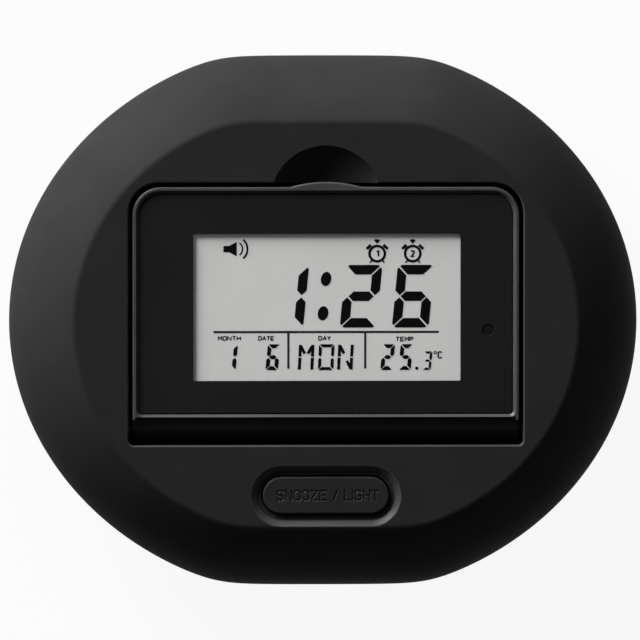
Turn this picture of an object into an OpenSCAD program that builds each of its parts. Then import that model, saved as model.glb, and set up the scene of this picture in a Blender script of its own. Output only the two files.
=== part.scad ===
// Under-pillow vibrating alarm clock, lying on its feet with the display facing up.
// Millimetres. Z = 0 is the surface that the feet stand on, +Y is the top edge of the display.

/* [Housing] */
// Width of the housing at the parting line
body_w = 112; // [108:1:120]
// Length of the oval that the outline follows
body_l = 99.4; // [97:0.2:104]
// Distance between the two end flats
flat_l = 94.5; // [92:0.5:96]
// Height of the upper shell above the parting line
top_h = 18; // [17.5:0.5:22]
// Height of the lower shell below the parting line
bottom_h = 14; // [13.5:0.5:18]
// Wall thickness of both shells
wall = 2; // [1.8:0.1:2.2]
// Slope of the shell sides at the parting line, in degrees
side_slope = 85; // [80:1:88]
// Slope of the ring where it breaks into the flat faces, in degrees
ring_slope = 32; // [30:1:36]
// Points around the housing outline
outline_points = 72; // [48:12:96]
// Steps along the arc of the ring
ring_steps = 7; // [4:1:9]
// Height of the rubber feet below the underside
foot_h = 1; // [0.6:0.1:2]
// Diameter of a foot
foot_d = 9; // [7:0.5:10]
// Sideways distance of the feet from the centre
foot_x = 34; // [31:0.5:35]
// Lengthwise distance of the feet from the centre
foot_y = 22; // [18:0.5:23]

/* [Display well] */
// Width of the well that the display lies in
well_w = 70; // [69:0.5:72]
// Length of the well
well_l = 46.6; // [46:0.2:48]
// Distance from the housing centre down to the lower edge of the well
well_low = 21.5; // [21:0.1:22]
// Depth of the well below the face
well_depth = 9; // [8.8:0.1:9.4]
// Radius of the upper corners of the well
well_r = 5.3; // [4:0.1:7]
// Radius of the lower corners of the well
well_r_low = 0.8; // [0.4:0.1:1.5]
// Diameter of the thumb notch in the face
notch_d = 17.8; // [16:0.2:19]
// How far the notch centre lies inside the upper edge of the well
notch_in = 2; // [1.5:0.1:3]
// Depth of the thumb notch
notch_depth = 7; // [6.6:0.1:7.2]

/* [Display panel] */
// Gap between the display panel and the sides of the well
panel_gap = 0.8; // [0.6:0.1:1.2]
// Thickness of the panel
panel_t = 7.1; // [6.9:0.1:7.3]
// How far the faceplate lies below the housing face
panel_drop = 0.6; // [0.5:0.1:0.9]
// Radius of the upper corners of the panel
panel_r = 5; // [4:0.1:6]
// Wall thickness of the panel frame
frame_wall = 2; // [1.8:0.1:2.2]
// Width of the frame's rim around the faceplate
rim_w = 1.1; // [0.8:0.05:1.3]
// Gap between the rim and the faceplate
rim_gap = 0.1; // [0.05:0.05:0.3]
// How far the rim stands in front of the faceplate
rim_proud = 0.5; // [0.2:0.1:0.6]
// Thickness of the faceplate
faceplate_t = 0.5; // [0.4:0.1:0.8]
// Radius of the upper corners of the faceplate
faceplate_r = 3.7; // [3:0.1:5]
// Width of the display window
window_w = 47.6; // [44:0.2:49]
// Length of the display window
window_l = 26.4; // [24:0.2:27]
// How far the window's centre lies below the middle of the faceplate
window_drop = 0.75; // [0.25:0.05:0.95]
// Diameter of the sensor hole in the faceplate
sensor_d = 2; // [1.6:0.1:2.4]
// How far the sensor lies inside the middle of the panel's side border
sensor_in = 0.3; // [0:0.1:0.7]
// Lengthwise position of the sensor
sensor_y = -1; // [-4:0.1:2]
// Radius of the rounded barrel along the lower edge
barrel_r = 4.2; // [3.9:0.05:4.3]
// Gap between the barrel and the lower wall of the well
barrel_gap = 0.3; // [0.2:0.05:0.4]
// Distance from the front of the barrel to the hinge axis
hinge_in = 2.6; // [2.45:0.05:2.8]
// Depth of the hinge axis below the face
hinge_depth = 3.3; // [3.1:0.1:3.4]
// Radius of the hinge pins
pin_r = 1; // [0.8:0.05:1.2]
// Radial clearance of the pins in the housing
pin_fit = 0.05; // [0.03:0.01:0.1]
// Width of the lift lip on the panel's upper edge
lip_w = 12.8; // [11:0.1:13]
// How far the lift lip bulges out
lip_bulge = 0.9; // [0.8:0.05:1.2]

/* [Buttons] */
// Length of the snooze button
snooze_w = 22.4; // [20:0.2:24]
// Width of the snooze button
snooze_l = 6.6; // [6:0.1:7]
// Lengthwise position of the snooze button
snooze_y = -30.3; // [-30.6:0.1:-30]
// Bevelled margin of the dish around the snooze button
dish_margin = 2.05; // [1.8:0.05:2.1]
// Depth of the dish
dish_depth = 1.4; // [1:0.1:1.6]
// How far the snooze button stands above the face
snooze_proud = 0.2; // [0:0.1:0.6]
// Travel of the snooze button
snooze_travel = 0.8; // [0.5:0.1:1]
// Diameter of a setting key
key_d = 7; // [6:0.1:7.4]
// Spacing of the setting keys
key_pitch = 12; // [11.5:0.1:12.2]
// Lengthwise position of the key row
key_y = 11.5; // [10:0.1:12]
// How far the keys stand above the well floor
key_proud = 0.6; // [0.3:0.1:0.7]
// Travel of a setting key
key_travel = 0.5; // [0.3:0.1:0.6]
// Travel of the mode switch to each side
mode_travel = 2; // [1.5:0.1:2.5]
// Clearance around the buttons in their holes
button_fit = 0.25; // [0.2:0.05:0.35]

/* [Power and sound] */
// Diameter of a cell
cell_d = 10.5; // [10:0.1:10.6]
// Length of a cell with its nub
cell_l = 44.5; // [43:0.1:45]
// Diameter of the vibration motor
motor_d = 11; // [10:0.1:11.4]
// Length of the motor can
motor_l = 20; // [18:0.5:21]
// Distance from the upper end of the housing to the motor axis
motor_in = 13.25; // [12.8:0.05:13.6]
// Radius of the eccentric weight
weight_r = 7; // [6:0.1:7.4]
// Width of the eccentric weight
weight_w = 7; // [5:0.5:8]
// Diameter of the buzzer
buzzer_d = 14; // [12:0.2:15]
// Height of the buzzer
buzzer_h = 4.5; // [4:0.1:6]

/* [Hidden] */
$fn = 48;

// Overlap that joins the solids of one moulding
weld = 0.4;
// Small gap between pieces that lie on each other
slip = 0.1;
// Clearance between a fixed piece and the hole or seat that it is pushed into
push_fit = 0.02;
// Length that makes a cut run clear of a face
beyond = 2;

// Heights of the housing
z_under = foot_h;
z_part = z_under + bottom_h;
z_face = z_part + top_h;
z_floor = z_under + wall;
z_well = z_face - well_depth;
z_well_under = z_well - wall;

// Plan of the well and of the panel that lies in it
well_half = well_w / 2;
well_top = well_l - well_low;
panel_half = well_half - panel_gap;
panel_top = well_top - panel_gap;
frame_front = -well_low + barrel_gap;
frame_low = frame_front + barrel_r;
hinge_y = frame_front + hinge_in;
hinge_z = z_face - hinge_depth;
rim_total = rim_w + rim_gap;
faceplate_low = frame_low + rim_total;
faceplate_half = panel_half - rim_total;
faceplate_top = panel_top - rim_total;
window_y = (faceplate_low + faceplate_top) / 2 - window_drop;
sensor_x = (window_w / 2 + panel_half) / 2 - sensor_in;
panel_r_low = 0.6;
lip_t = 1.4;
pin_in = 4.8;
pin_out = 4;
pin_room = 0.5;

// Heights of the panel's layers
z_faceplate = z_face - panel_drop;
z_rim = z_faceplate + rim_proud;
z_ledge = z_faceplate - faceplate_t;
z_back = z_faceplate - panel_t;
z_barrel = z_ledge + slip - barrel_r;
back_t = 1.2;
lcd_board_t = 1;
strip_h = 1.8;
pane_t = 0.5;
z_lcd_board = z_back + back_t;
z_strip = z_lcd_board + lcd_board_t;
z_lcd = z_strip + strip_h;
z_pane = z_ledge - pane_t;
lcd_margin = 1.8;
pane_margin = 2.4;
strip_w = 1.8;
frame_post_r = 2.4;
frame_post_lap = 0.5;
frame_post_in = frame_wall + frame_post_r - frame_post_lap;
frame_post_x = panel_half - frame_post_in;
frame_posts_y = [frame_low + frame_post_in, panel_top - frame_post_in];
frame_screw_r = 0.7;
frame_screw_l = 3;

// Main board hung under the well
key_space = 3;
board_t = 1.6;
board_half = 31;
board_spill = 0.5;
board_low = well_low + board_spill;
board_in = 2.5;
board_top = well_top - board_in;
tongue_half = 14;
z_board = z_well_under - key_space - board_t;
z_board_top = z_board + board_t;
board_boss_r = 2.2;
board_boss_x = 27.5;
board_bosses_y = [-17, 19.5];
board_screw_r = 0.85;
board_bore_r = board_screw_r + push_fit;
board_screw_l = 3.8;
board_head_h = 1;
tact_w = 4.5;
tact_h = 1.2;
tact_nub_h = 0.4;
tact_nub_r = 1;

// Keys and switch in the floor of the well
key_count = 5;
key_x = [for (i = [0 : key_count - 1]) (i - (key_count - 1) / 2) * key_pitch];
flange_w = 0.8;
flange_t = 0.8;
mode_y = -5;
mode_finger = [4, 2.8];
mode_plate = [9, 5.5];
mode_body = [14, 6.5];
mode_body_h = 1.7;

// Snooze button
dish_shift = 0.3;
dish_y = snooze_y - dish_shift;
snooze_hole_z = z_face - dish_depth - wall;
snooze_bevel = 0.5;
snooze_stem_r = 1.6;
dish_bevel = 1.1;

// Battery bay
cell_count = 3;
cell_gap = 0.4;
cell_pitch = cell_d + cell_gap;
cell_nub = [1.9, 1];
contact_t = 0.4;
contact_w = 8;
spring_l = 3;
spring_r = [3.4, 2.2];
door_seat = 0.2;
door_gap = 0.3;
door_t = wall - door_seat;
bay_wall = 1.5;
bay_roof = 1;
bay_y = -5.5;
bay_half_x = (cell_l + spring_l + 2 * contact_t) / 2 + slip;
bay_half_y = ((cell_count - 1) * cell_pitch + cell_d) / 2 + slip;
bay_ledge = 1.2;
cell_lift = 0.3;
z_cell = z_floor + cell_lift + cell_d / 2;
z_bay = z_cell + cell_d / 2 + 2 * slip;
hatch_half_x = bay_half_x + bay_ledge;
hatch_half_y = bay_half_y + bay_ledge;
tab_x = 14;
tab_w = 8;
tab_l = 1.6;
tab_t = 0.8;
tab_room = 4.5;
latch_w = 12;

// Motor, clamp and weight
motor_y = min(flat_l, body_l) / 2 - motor_in;
motor_drop = 1;
motor_z = z_part - motor_drop;
motor_x = -16;
motor_shell = 0.8;
cap_t = 1.6;
shaft_r = 1;
shaft_tail = 0.8;
shaft_gap = 1.8;
weight_hub_r = 2.4;
armature_r = 3.6;
armature_l = 12;
cradle_in = 3.5;
cradle_x = [motor_x + cradle_in, motor_x + motor_l - cradle_in];
cradle_t = 2;
cradle_low = 1;
clamp_x = motor_x + motor_l / 2;
clamp_w = 6;
clamp_t = 1.2;
clamp_reach = 3.3;
clamp_ear = motor_d / 2 + clamp_reach;
clamp_screw_r = 0.85;
clamp_screw_l = 7;
clamp_head_h = 1.1;
clamp_boss_r = 2.2;

// Buzzer
buzzer_gap = 2.25;
buzzer_wall = 0.8;
buzzer_rib = 1.2;
buzzer_rib_h = 2.5;
buzzer_wall_r = buzzer_d / 2 + slip + buzzer_rib;
buzzer_x = bay_half_x + bay_wall + buzzer_gap + buzzer_wall_r;
sound_hole_r = 0.8;
sound_ring_r = 3;
disc_t = 0.4;

// Screws that hold the two shells together
boss_x = 24;
boss_y = 32;
boss_r = 4.2;
screw_r = 1.2;
screw_bore_r = screw_r + push_fit;
screw_head_r = 2.5;
screw_head_h = 1.8;
screw_sink = 4;
screw_l = 17;

// Inset and height of a point on the ring's arc, with the surface moved in by skin
function ring_radius(h) = h / (cos(ring_slope) - cos(side_slope));
function ring_angle(i) = side_slope + (ring_slope - side_slope) * i / ring_steps;
function ring_point(h, skin, t) = [
    ring_radius(h) * (sin(side_slope) - sin(t)) + skin * sin(t),
    ring_radius(h) * (cos(t) - cos(side_slope)) - skin * cos(t)
];

// Arc of the ring, carried on a little past both ends so that flat cuts can trim it
function ring_arc(h, skin) = let (
        low = ring_point(h, skin, side_slope),
        high = ring_point(h, skin, ring_slope)
    ) concat(
        [[low[0], low[1] - beyond]],
        [for (i = [0 : ring_steps]) ring_point(h, skin, ring_angle(i))],
        [[high[0] + beyond * cos(ring_slope), high[1] + beyond * sin(ring_slope)]]
    );

// Point of the oval with flattened ends, inset from the housing outline
function clamp_to(v, limit) = max(-limit, min(limit, v));
function outline_point(inset, z, t) = [
    (body_w / 2 - inset) * cos(t),
    clamp_to((body_l / 2 - inset) * sin(t), flat_l / 2 - inset),
    z
];

// Solid skinned over outlines that follow the arc of the ring
module ring_loft(arc) {
    n = outline_points;
    last = (len(arc) - 1) * n;
    points = [for (r = arc, i = [0 : n - 1]) outline_point(r[0], r[1], 360 * i / n)];
    sides = [for (j = [0 : len(arc) - 2], i = [0 : n - 1]) let (a = j * n, k = (i + 1) % n)
        each [[a + i, a + n + i, a + n + k], [a + i, a + n + k, a + k]]];
    floor_face = [for (i = [0 : n - 1]) i];
    roof_face = [for (i = [0 : n - 1]) last + n - 1 - i];
    polyhedron(points, concat(sides, [floor_face, roof_face]));
}

// Half of the pebble, standing on the parting plane, with its surface moved in by skin
module half_pebble(h, skin, z0) {
    intersection() {
        ring_loft(ring_arc(h, skin));
        translate([-body_w, -body_w, z0])
            cube([2 * body_w, 2 * body_w, h - skin - z0]);
    }
}

module pebble_shell(h) {
    difference() {
        half_pebble(h, 0, 0);
        half_pebble(h, wall, -beyond / 2);
    }
}

// Plan with different radii on its lower and upper corners
module two_radius_plan(half, low, high, r_low, r_high) {
    translate([-half, low + r_low])
        square([2 * half, high - low - r_low - r_high]);
    for (s = [-1, 1]) {
        translate([s * (half - r_low), low + r_low])
            circle(r_low);
        translate([s * (half - r_high), high - r_high])
            circle(r_high);
    }
    translate([r_low - half, low])
        square([2 * (half - r_low), r_low]);
    translate([r_high - half, high - r_high])
        square([2 * (half - r_high), r_high]);
}

module slab(z0, z1) {
    translate([0, 0, z0])
        linear_extrude(z1 - z0)
            children();
}

// Oblong with round ends: total length l, radii r0 at the bottom and r1 at the top
module oblong(l, r0, r1, h) {
    reach = l / 2 - max(r0, r1);
    for (s = [-1, 1])
        translate([s * reach, 0, 0])
            cylinder(h, r0, r1);
    rotate([90, 0, 90])
        translate([0, 0, -reach])
            linear_extrude(2 * reach)
                polygon([[-r0, 0], [r0, 0], [r1, h], [-r1, h]]);
}

module rod_x(r, x0, x1) {
    translate([x0, 0, 0])
        rotate([0, 90, 0])
            cylinder(x1 - x0, r, r);
}

module at_corners(x, ys) {
    for (s = [-1, 1], y = ys)
        translate([s * x, y, 0])
            children();
}

module screw(head_r, head_h, shank_r, shank_l) {
    translate([0, 0, -head_h])
        cylinder(head_h, head_r, head_r);
    cylinder(shank_l, shank_r, shank_r);
}

module box(x0, x1, y0, y1, z0, z1) {
    translate([x0, y0, z0])
        cube([x1 - x0, y1 - y0, z1 - z0]);
}

// Sphere of the thumb notch, grown by skin
module notch_ball(skin) {
    ball_r = (pow(notch_d / 2, 2) + pow(notch_depth, 2)) / (2 * notch_depth);
    translate([0, well_top - notch_in, z_face - notch_depth + ball_r])
        sphere(ball_r + skin);
}

// Pieces of the upper shell
module well_box() {
    slab(z_well_under, z_face - wall / 2)
        two_radius_plan(well_half + wall, -well_low - wall, well_top + wall, well_r_low + wall, well_r + wall);
}

module well_pocket() {
    slab(z_well, z_face + beyond)
        two_radius_plan(well_half, -well_low, well_top, well_r_low, well_r);
}

module notch_bowl() {
    intersection() {
        notch_ball(wall);
        box(-body_w / 2, body_w / 2, well_top, body_l / 2, z_well_under, z_face - wall / 2);
    }
}

module dish_wall() {
    depth = dish_depth + wall;
    translate([0, dish_y, z_face - depth])
        oblong(snooze_w + 2 * dish_margin, snooze_l / 2 + dish_margin - dish_bevel + wall / 2,
            snooze_l / 2 + dish_margin - dish_bevel + wall / 2, depth - wall / 2);
}

module snooze_dish() {
    r = snooze_l / 2 + dish_margin;
    translate([0, dish_y, z_face - dish_depth])
        oblong(snooze_w + 2 * dish_margin, r - dish_bevel, r, dish_depth);
    translate([0, dish_y, z_face])
        oblong(snooze_w + 2 * dish_margin, r, r, beyond);
    translate([0, snooze_y, snooze_hole_z - beyond])
        oblong(snooze_w + 2 * button_fit, snooze_l / 2 + button_fit, snooze_l / 2 + button_fit,
            dish_depth + wall + beyond);
}

module hinge_bosses() {
    for (s = [-1, 1])
        translate([0, hinge_y, hinge_z])
            mirror([s < 0 ? 1 : 0, 0, 0])
                rod_x(pin_r + wall, well_half, well_half + pin_out);
}

module hinge_bores() {
    reach = well_half + pin_out - pin_room;
    translate([0, hinge_y, hinge_z])
        rod_x(pin_r + pin_fit, -reach, reach);
}

module well_openings() {
    for (x = key_x)
        translate([x, key_y, z_well_under - beyond])
            cylinder(wall + 2 * beyond, key_d / 2 + button_fit, key_d / 2 + button_fit);
    slot_x = mode_finger[0] / 2 + mode_travel + button_fit;
    slot_y = mode_finger[1] / 2 + button_fit;
    box(-slot_x, slot_x, mode_y - slot_y, mode_y + slot_y, z_well_under - beyond, z_well + beyond);
}

module top_shell() {
    color("#1d1d1f")
    difference() {
        union() {
            translate([0, 0, z_part])
                pebble_shell(top_h);
            intersection() {
                translate([0, 0, z_part])
                    half_pebble(top_h, wall / 2, 0);
                union() {
                    well_box();
                    notch_bowl();
                    dish_wall();
                    hinge_bosses();
                    at_corners(boss_x, [-boss_y, boss_y])
                        translate([0, 0, z_part + slip])
                            cylinder(top_h, boss_r, boss_r);
                    at_corners(board_boss_x, board_bosses_y)
                        translate([0, 0, z_board_top])
                            cylinder(key_space + wall / 2, board_boss_r, board_boss_r);
                }
            }
        }
        well_pocket();
        notch_ball(0);
        snooze_dish();
        hinge_bores();
        well_openings();
        at_corners(boss_x, [-boss_y, boss_y])
            translate([0, 0, z_part - beyond])
                cylinder(screw_sink + screw_l - bottom_h + 2 * beyond, screw_bore_r, screw_bore_r);
        at_corners(board_boss_x, board_bosses_y)
            translate([0, 0, z_board_top - beyond])
                cylinder(board_screw_l - board_t + beyond + slip, board_bore_r, board_bore_r);
    }
}

// Pieces of the lower shell
module bay_box(skin, z0, z1) {
    box(-bay_half_x - skin, bay_half_x + skin, bay_y - bay_half_y - skin, bay_y + bay_half_y + skin, z0, z1);
}

module hatch() {
    box(-hatch_half_x, hatch_half_x, bay_y - hatch_half_y, bay_y + hatch_half_y, z_under - beyond, z_floor);
}

module tab_notches() {
    for (s = [-1, 1])
        box(s * tab_x - tab_w / 2 - door_gap, s * tab_x + tab_w / 2 + door_gap, bay_y + bay_half_y - slip,
            bay_y + bay_half_y + bay_wall + slip, z_floor, z_floor + tab_room);
}

module cradle_ribs() {
    for (x = cradle_x)
        box(x - cradle_t / 2, x + cradle_t / 2, motor_y - motor_d / 2 - wall, motor_y + motor_d / 2 + wall,
            z_floor - weld, motor_z - cradle_low);
}

module clamp_bosses(r, z0, z1) {
    for (s = [-1, 1])
        translate([clamp_x, motor_y + s * clamp_ear, z0])
            cylinder(z1 - z0, r, r);
}

module bottom_shell() {
    color("#1a1a1c")
    difference() {
        union() {
            translate([0, 0, z_part])
                mirror([0, 0, 1])
                    pebble_shell(bottom_h);
            intersection() {
                translate([0, 0, z_part])
                    mirror([0, 0, 1])
                        half_pebble(bottom_h, wall / 2, 0);
                union() {
                    bay_box(bay_wall, z_floor - weld, z_bay + bay_roof);
                    at_corners(boss_x, [-boss_y, boss_y])
                        translate([0, 0, z_floor - weld])
                            cylinder(bottom_h, boss_r, boss_r);
                    cradle_ribs();
                    clamp_bosses(clamp_boss_r, z_floor - weld, motor_z);
                    translate([buzzer_x, 0, z_floor - weld])
                        cylinder(buzzer_rib_h + weld, buzzer_wall_r, buzzer_wall_r);
                }
            }
        }
        bay_box(0, z_under, z_bay);
        hatch();
        tab_notches();
        translate([0, motor_y, motor_z])
            rod_x(motor_d / 2 + slip, motor_x - slip, motor_x + motor_l + slip);
        clamp_bosses(clamp_screw_r + push_fit, motor_z - clamp_screw_l, motor_z + beyond);
        translate([buzzer_x, 0, z_floor])
            cylinder(buzzer_rib_h + beyond, buzzer_d / 2 + slip, buzzer_d / 2 + slip);
        for (a = [0 : 60 : 300])
            translate([buzzer_x + sound_ring_r * cos(a), sound_ring_r * sin(a), z_under - beyond])
                cylinder(wall + 2 * beyond, sound_hole_r, sound_hole_r);
        at_corners(boss_x, [-boss_y, boss_y]) {
            translate([0, 0, z_under - beyond])
                cylinder(screw_sink + beyond, screw_head_r + slip, screw_head_r + slip);
            translate([0, 0, z_under])
                cylinder(bottom_h + beyond, screw_r + slip, screw_r + slip);
        }
        at_corners(foot_x, [-foot_y, foot_y])
            translate([0, 0, z_under - beyond])
                cylinder(wall / 2 + beyond, foot_d / 2 + push_fit, foot_d / 2 + push_fit);
    }
}

module rubber_feet() {
    color("#2a2a2a")
    at_corners(foot_x, [-foot_y, foot_y])
        cylinder(foot_h + wall / 2, foot_d / 2, foot_d / 2);
}

module housing_screws() {
    color("silver")
    at_corners(boss_x, [-boss_y, boss_y])
        translate([0, 0, z_under + screw_sink])
            screw(screw_head_r, screw_head_h, screw_r, screw_l);
}

// Boards and switches in the housing
module main_board() {
    color("darkgreen")
    difference() {
        union() {
            box(-board_half, board_half, -board_low, board_top, z_board, z_board_top);
            box(-tongue_half, tongue_half, snooze_y - tact_w, -board_low + weld, z_board, z_board_top);
        }
        at_corners(board_boss_x, board_bosses_y)
            translate([0, 0, z_board - beyond])
                cylinder(board_t + 2 * beyond, board_screw_r + slip, board_screw_r + slip);
    }
}

module board_screws() {
    color("silver")
    at_corners(board_boss_x, board_bosses_y)
        translate([0, 0, z_board])
            screw(2 * board_screw_r, board_head_h, board_screw_r, board_screw_l);
}

module clock_chip() {
    chip_half = 3.5;
    chip_x = -20;
    color("#202020")
    box(chip_x - chip_half, chip_x + chip_half, mode_y - chip_half, mode_y + chip_half,
        z_board_top, z_board_top + tact_h);
}

module tact_switch() {
    box(-tact_w / 2, tact_w / 2, -tact_w / 2, tact_w / 2, 0, tact_h);
    cylinder(tact_h + tact_nub_h, tact_nub_r, tact_nub_r);
}

module tact_switches() {
    color("gray") {
        for (x = key_x)
            translate([x, key_y, z_board_top])
                tact_switch();
        translate([0, snooze_y, z_board_top])
            tact_switch();
    }
}

module mode_switch_body() {
    color("silver")
    box(-mode_body[0] / 2, mode_body[0] / 2, mode_y - mode_body[1] / 2, mode_y + mode_body[1] / 2,
        z_board_top, z_board_top + mode_body_h);
}

// Cells, alternating end for end
module along_cells() {
    for (i = [0 : cell_count - 1])
        translate([0, bay_y + (i - (cell_count - 1) / 2) * cell_pitch, z_cell])
            rotate([0, 0, 180 * (i % 2)])
                children();
}

module battery_cells() {
    nub_end = bay_half_x - contact_t - slip;
    color("goldenrod")
    along_cells() {
        rod_x(cell_d / 2, nub_end - cell_l, nub_end - cell_nub[1]);
        rod_x(cell_nub[0], nub_end - cell_nub[1] - weld, nub_end);
    }
}

module battery_contacts() {
    color("lightgray")
    along_cells() {
        box(bay_half_x - contact_t, bay_half_x, -contact_w / 2, contact_w / 2, -contact_w / 2, contact_w / 2);
        box(-bay_half_x, contact_t - bay_half_x, -contact_w / 2, contact_w / 2,
            -contact_w / 2, contact_w / 2);
        translate([contact_t - bay_half_x, 0, 0])
            rotate([0, 90, 0])
                cylinder(spring_l, spring_r[0], spring_r[1]);
    }
}

module battery_door() {
    half_x = hatch_half_x - door_gap;
    half_y = hatch_half_y - door_gap;
    top_y = bay_y + half_y;
    color("#1a1a1c")
    difference() {
        union() {
            box(-half_x, half_x, bay_y - half_y, top_y, z_under, z_under + door_t);
            for (s = [-1, 1]) {
                box(s * tab_x - tab_w / 2, s * tab_x + tab_w / 2, top_y - bay_ledge, top_y,
                    z_under, z_floor + slip + tab_t);
                box(s * tab_x - tab_w / 2, s * tab_x + tab_w / 2, top_y - bay_ledge, top_y + tab_l,
                    z_floor + slip, z_floor + slip + tab_t);
            }
        }
        translate([0, bay_y - half_y, z_under])
            cylinder(2 * door_t / 3, latch_w / 2, latch_w / 2 - door_t, center = true);
    }
}

// Vibration motor along X, with the weight on its right-hand shaft end
module on_motor_axis() {
    translate([0, motor_y, motor_z])
        children();
}

module motor_can() {
    color("silver")
    on_motor_axis()
        difference() {
            rod_x(motor_d / 2, motor_x, motor_x + motor_l);
            rod_x(motor_d / 2 - motor_shell, motor_x - beyond, motor_x + motor_l - cap_t);
            rod_x(shaft_r + pin_fit, motor_x, motor_x + motor_l + beyond);
        }
}

module motor_end_cap() {
    color("ivory")
    on_motor_axis()
        difference() {
            rod_x(motor_d / 2 - motor_shell - push_fit, motor_x, motor_x + cap_t);
            rod_x(shaft_r + pin_fit, motor_x - beyond, motor_x + cap_t + beyond);
        }
}

module motor_clamp() {
    color("lightgray")
    translate([clamp_x - clamp_w / 2, 0, 0])
    difference() {
        on_motor_axis()
            union() {
                rod_x(motor_d / 2 + slip + clamp_t, 0, clamp_w);
                box(0, clamp_w, -clamp_ear - clamp_boss_r, clamp_ear + clamp_boss_r, 0, clamp_t);
            }
        on_motor_axis() {
            rod_x(motor_d / 2 + slip, -beyond, clamp_w + beyond);
            box(-beyond, clamp_w + beyond, -body_l / 2, body_l / 2, -bottom_h, 0);
        }
        translate([clamp_w / 2 - clamp_x, 0, 0])
            clamp_bosses(clamp_screw_r + slip, motor_z - beyond, motor_z + clamp_t + beyond);
    }
}

module clamp_screws() {
    color("gray")
    for (s = [-1, 1])
        translate([clamp_x, motor_y + s * clamp_ear, motor_z + clamp_t])
            rotate([180, 0, 0])
                screw(2 * clamp_screw_r, clamp_head_h, clamp_screw_r, clamp_screw_l);
}

module motor_shaft() {
    color("lightsteelblue")
    on_motor_axis()
        rod_x(shaft_r, motor_x - shaft_tail, motor_x + motor_l + shaft_gap + weight_w);
}

module motor_armature() {
    slot_w = 1;
    middle = motor_x + motor_l / 2;
    color("peru")
    on_motor_axis()
        difference() {
            rod_x(armature_r, middle - armature_l / 2, middle + armature_l / 2);
            rod_x(shaft_r + push_fit, motor_x, motor_x + motor_l);
            for (a = [90, 210, 330])
                rotate([a, 0, 0])
                    box(motor_x, motor_x + motor_l, weight_hub_r, armature_r + beyond,
                        -slot_w / 2, slot_w / 2);
        }
}

module eccentric_weight() {
    x0 = motor_x + motor_l + shaft_gap;
    color("dimgray")
    on_motor_axis()
        difference() {
            union() {
                rod_x(weight_hub_r, x0, x0 + weight_w);
                intersection() {
                    rod_x(weight_r, x0, x0 + weight_w);
                    box(x0, x0 + weight_w, -weight_r, weight_r, -weight_r, 0);
                }
            }
            rod_x(shaft_r + push_fit, x0 - beyond, x0 + weight_w + beyond);
        }
}

// Buzzer over the sound holes of the underside
module buzzer_cup() {
    inner_r = buzzer_d / 2 - buzzer_wall;
    color("#222222")
    translate([buzzer_x, 0, z_floor])
        difference() {
            cylinder(buzzer_h, buzzer_d / 2, buzzer_d / 2);
            translate([0, 0, -beyond])
                cylinder(buzzer_h - buzzer_wall + beyond, inner_r, inner_r);
        }
}

module buzzer_disc() {
    color("gold")
    translate([buzzer_x, 0, z_floor + buzzer_h - buzzer_wall - disc_t - slip])
        cylinder(disc_t, buzzer_d / 2 - buzzer_wall - slip, buzzer_d / 2 - buzzer_wall - slip);
}

// Display panel
module panel_plan(low, inset) {
    two_radius_plan(panel_half - inset, low + inset, panel_top - inset, panel_r_low,
        max(panel_r - inset, panel_r_low));
}

module faceplate_plan(grow) {
    two_radius_plan(faceplate_half + grow, faceplate_low - grow, faceplate_top + grow, panel_r_low,
        faceplate_r + grow);
}

module lift_lip() {
    lip_r = (pow(lip_w / 2, 2) + pow(lip_bulge, 2)) / (2 * lip_bulge);
    intersection() {
        translate([0, panel_top + lip_bulge - lip_r, z_rim - lip_t])
            cylinder(lip_t, lip_r, lip_r, $fn = 96);
        box(-lip_w, lip_w, panel_top - rim_w, panel_top + lip_bulge, z_rim - lip_t, z_rim);
    }
}

// What is cut from the lower edge of the panel to round it
module above_barrel() {
    side = panel_half + beyond;
    difference() {
        box(-side, side, frame_front - beyond, frame_low, z_barrel, z_rim + beyond);
        translate([0, frame_low, z_barrel])
            rod_x(barrel_r, -side - beyond, side + beyond);
    }
}

module display_frame() {
    color("#232325")
    difference() {
        union() {
            slab(z_back, z_rim)
                panel_plan(frame_front, 0);
            lift_lip();
        }
        above_barrel();
        difference() {
            slab(z_back - beyond, z_rim + beyond)
                panel_plan(frame_low, frame_wall);
            at_corners(frame_post_x, frame_posts_y)
                translate([0, 0, z_back + back_t])
                    cylinder(z_ledge - z_back - back_t, frame_post_r, frame_post_r);
        }
        slab(z_ledge, z_rim + beyond)
            faceplate_plan(rim_gap);
        window_layer(pane_margin + slip, pane_margin + slip, z_lcd_board, z_ledge);
        at_corners(frame_post_x, frame_posts_y)
            translate([0, 0, z_back])
                cylinder(back_t + frame_screw_l, frame_screw_r + push_fit, frame_screw_r + push_fit);
        for (s = [-1, 1])
            translate([s * panel_half, hinge_y, hinge_z])
                rod_x(pin_r + push_fit, -pin_in, pin_in);
    }
}

module display_back() {
    color("#1d1d1f")
    difference() {
        slab(z_back, z_back + back_t)
            panel_plan(frame_low, frame_wall + slip);
        at_corners(frame_post_x, frame_posts_y) {
            translate([0, 0, z_back - beyond])
                cylinder(2 * beyond + back_t, frame_screw_r + slip, frame_screw_r + slip);
            translate([0, 0, z_back - beyond])
                cylinder(beyond + back_t / 2, 2 * frame_screw_r + slip, 2 * frame_screw_r + slip);
        }
    }
}

module display_screws() {
    color("silver")
    at_corners(frame_post_x, frame_posts_y)
        translate([0, 0, z_back + back_t / 2])
            screw(2 * frame_screw_r, back_t / 2 - slip, frame_screw_r, frame_screw_l);
}

module display_faceplate() {
    color("#111112")
    difference() {
        slab(z_ledge, z_faceplate)
            faceplate_plan(0);
        box(-window_w / 2, window_w / 2, window_y - window_l / 2, window_y + window_l / 2,
            z_ledge - beyond, z_faceplate + beyond);
        translate([sensor_x, sensor_y, z_ledge - beyond])
            cylinder(faceplate_t + 2 * beyond, sensor_d / 2, sensor_d / 2);
    }
}

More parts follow.
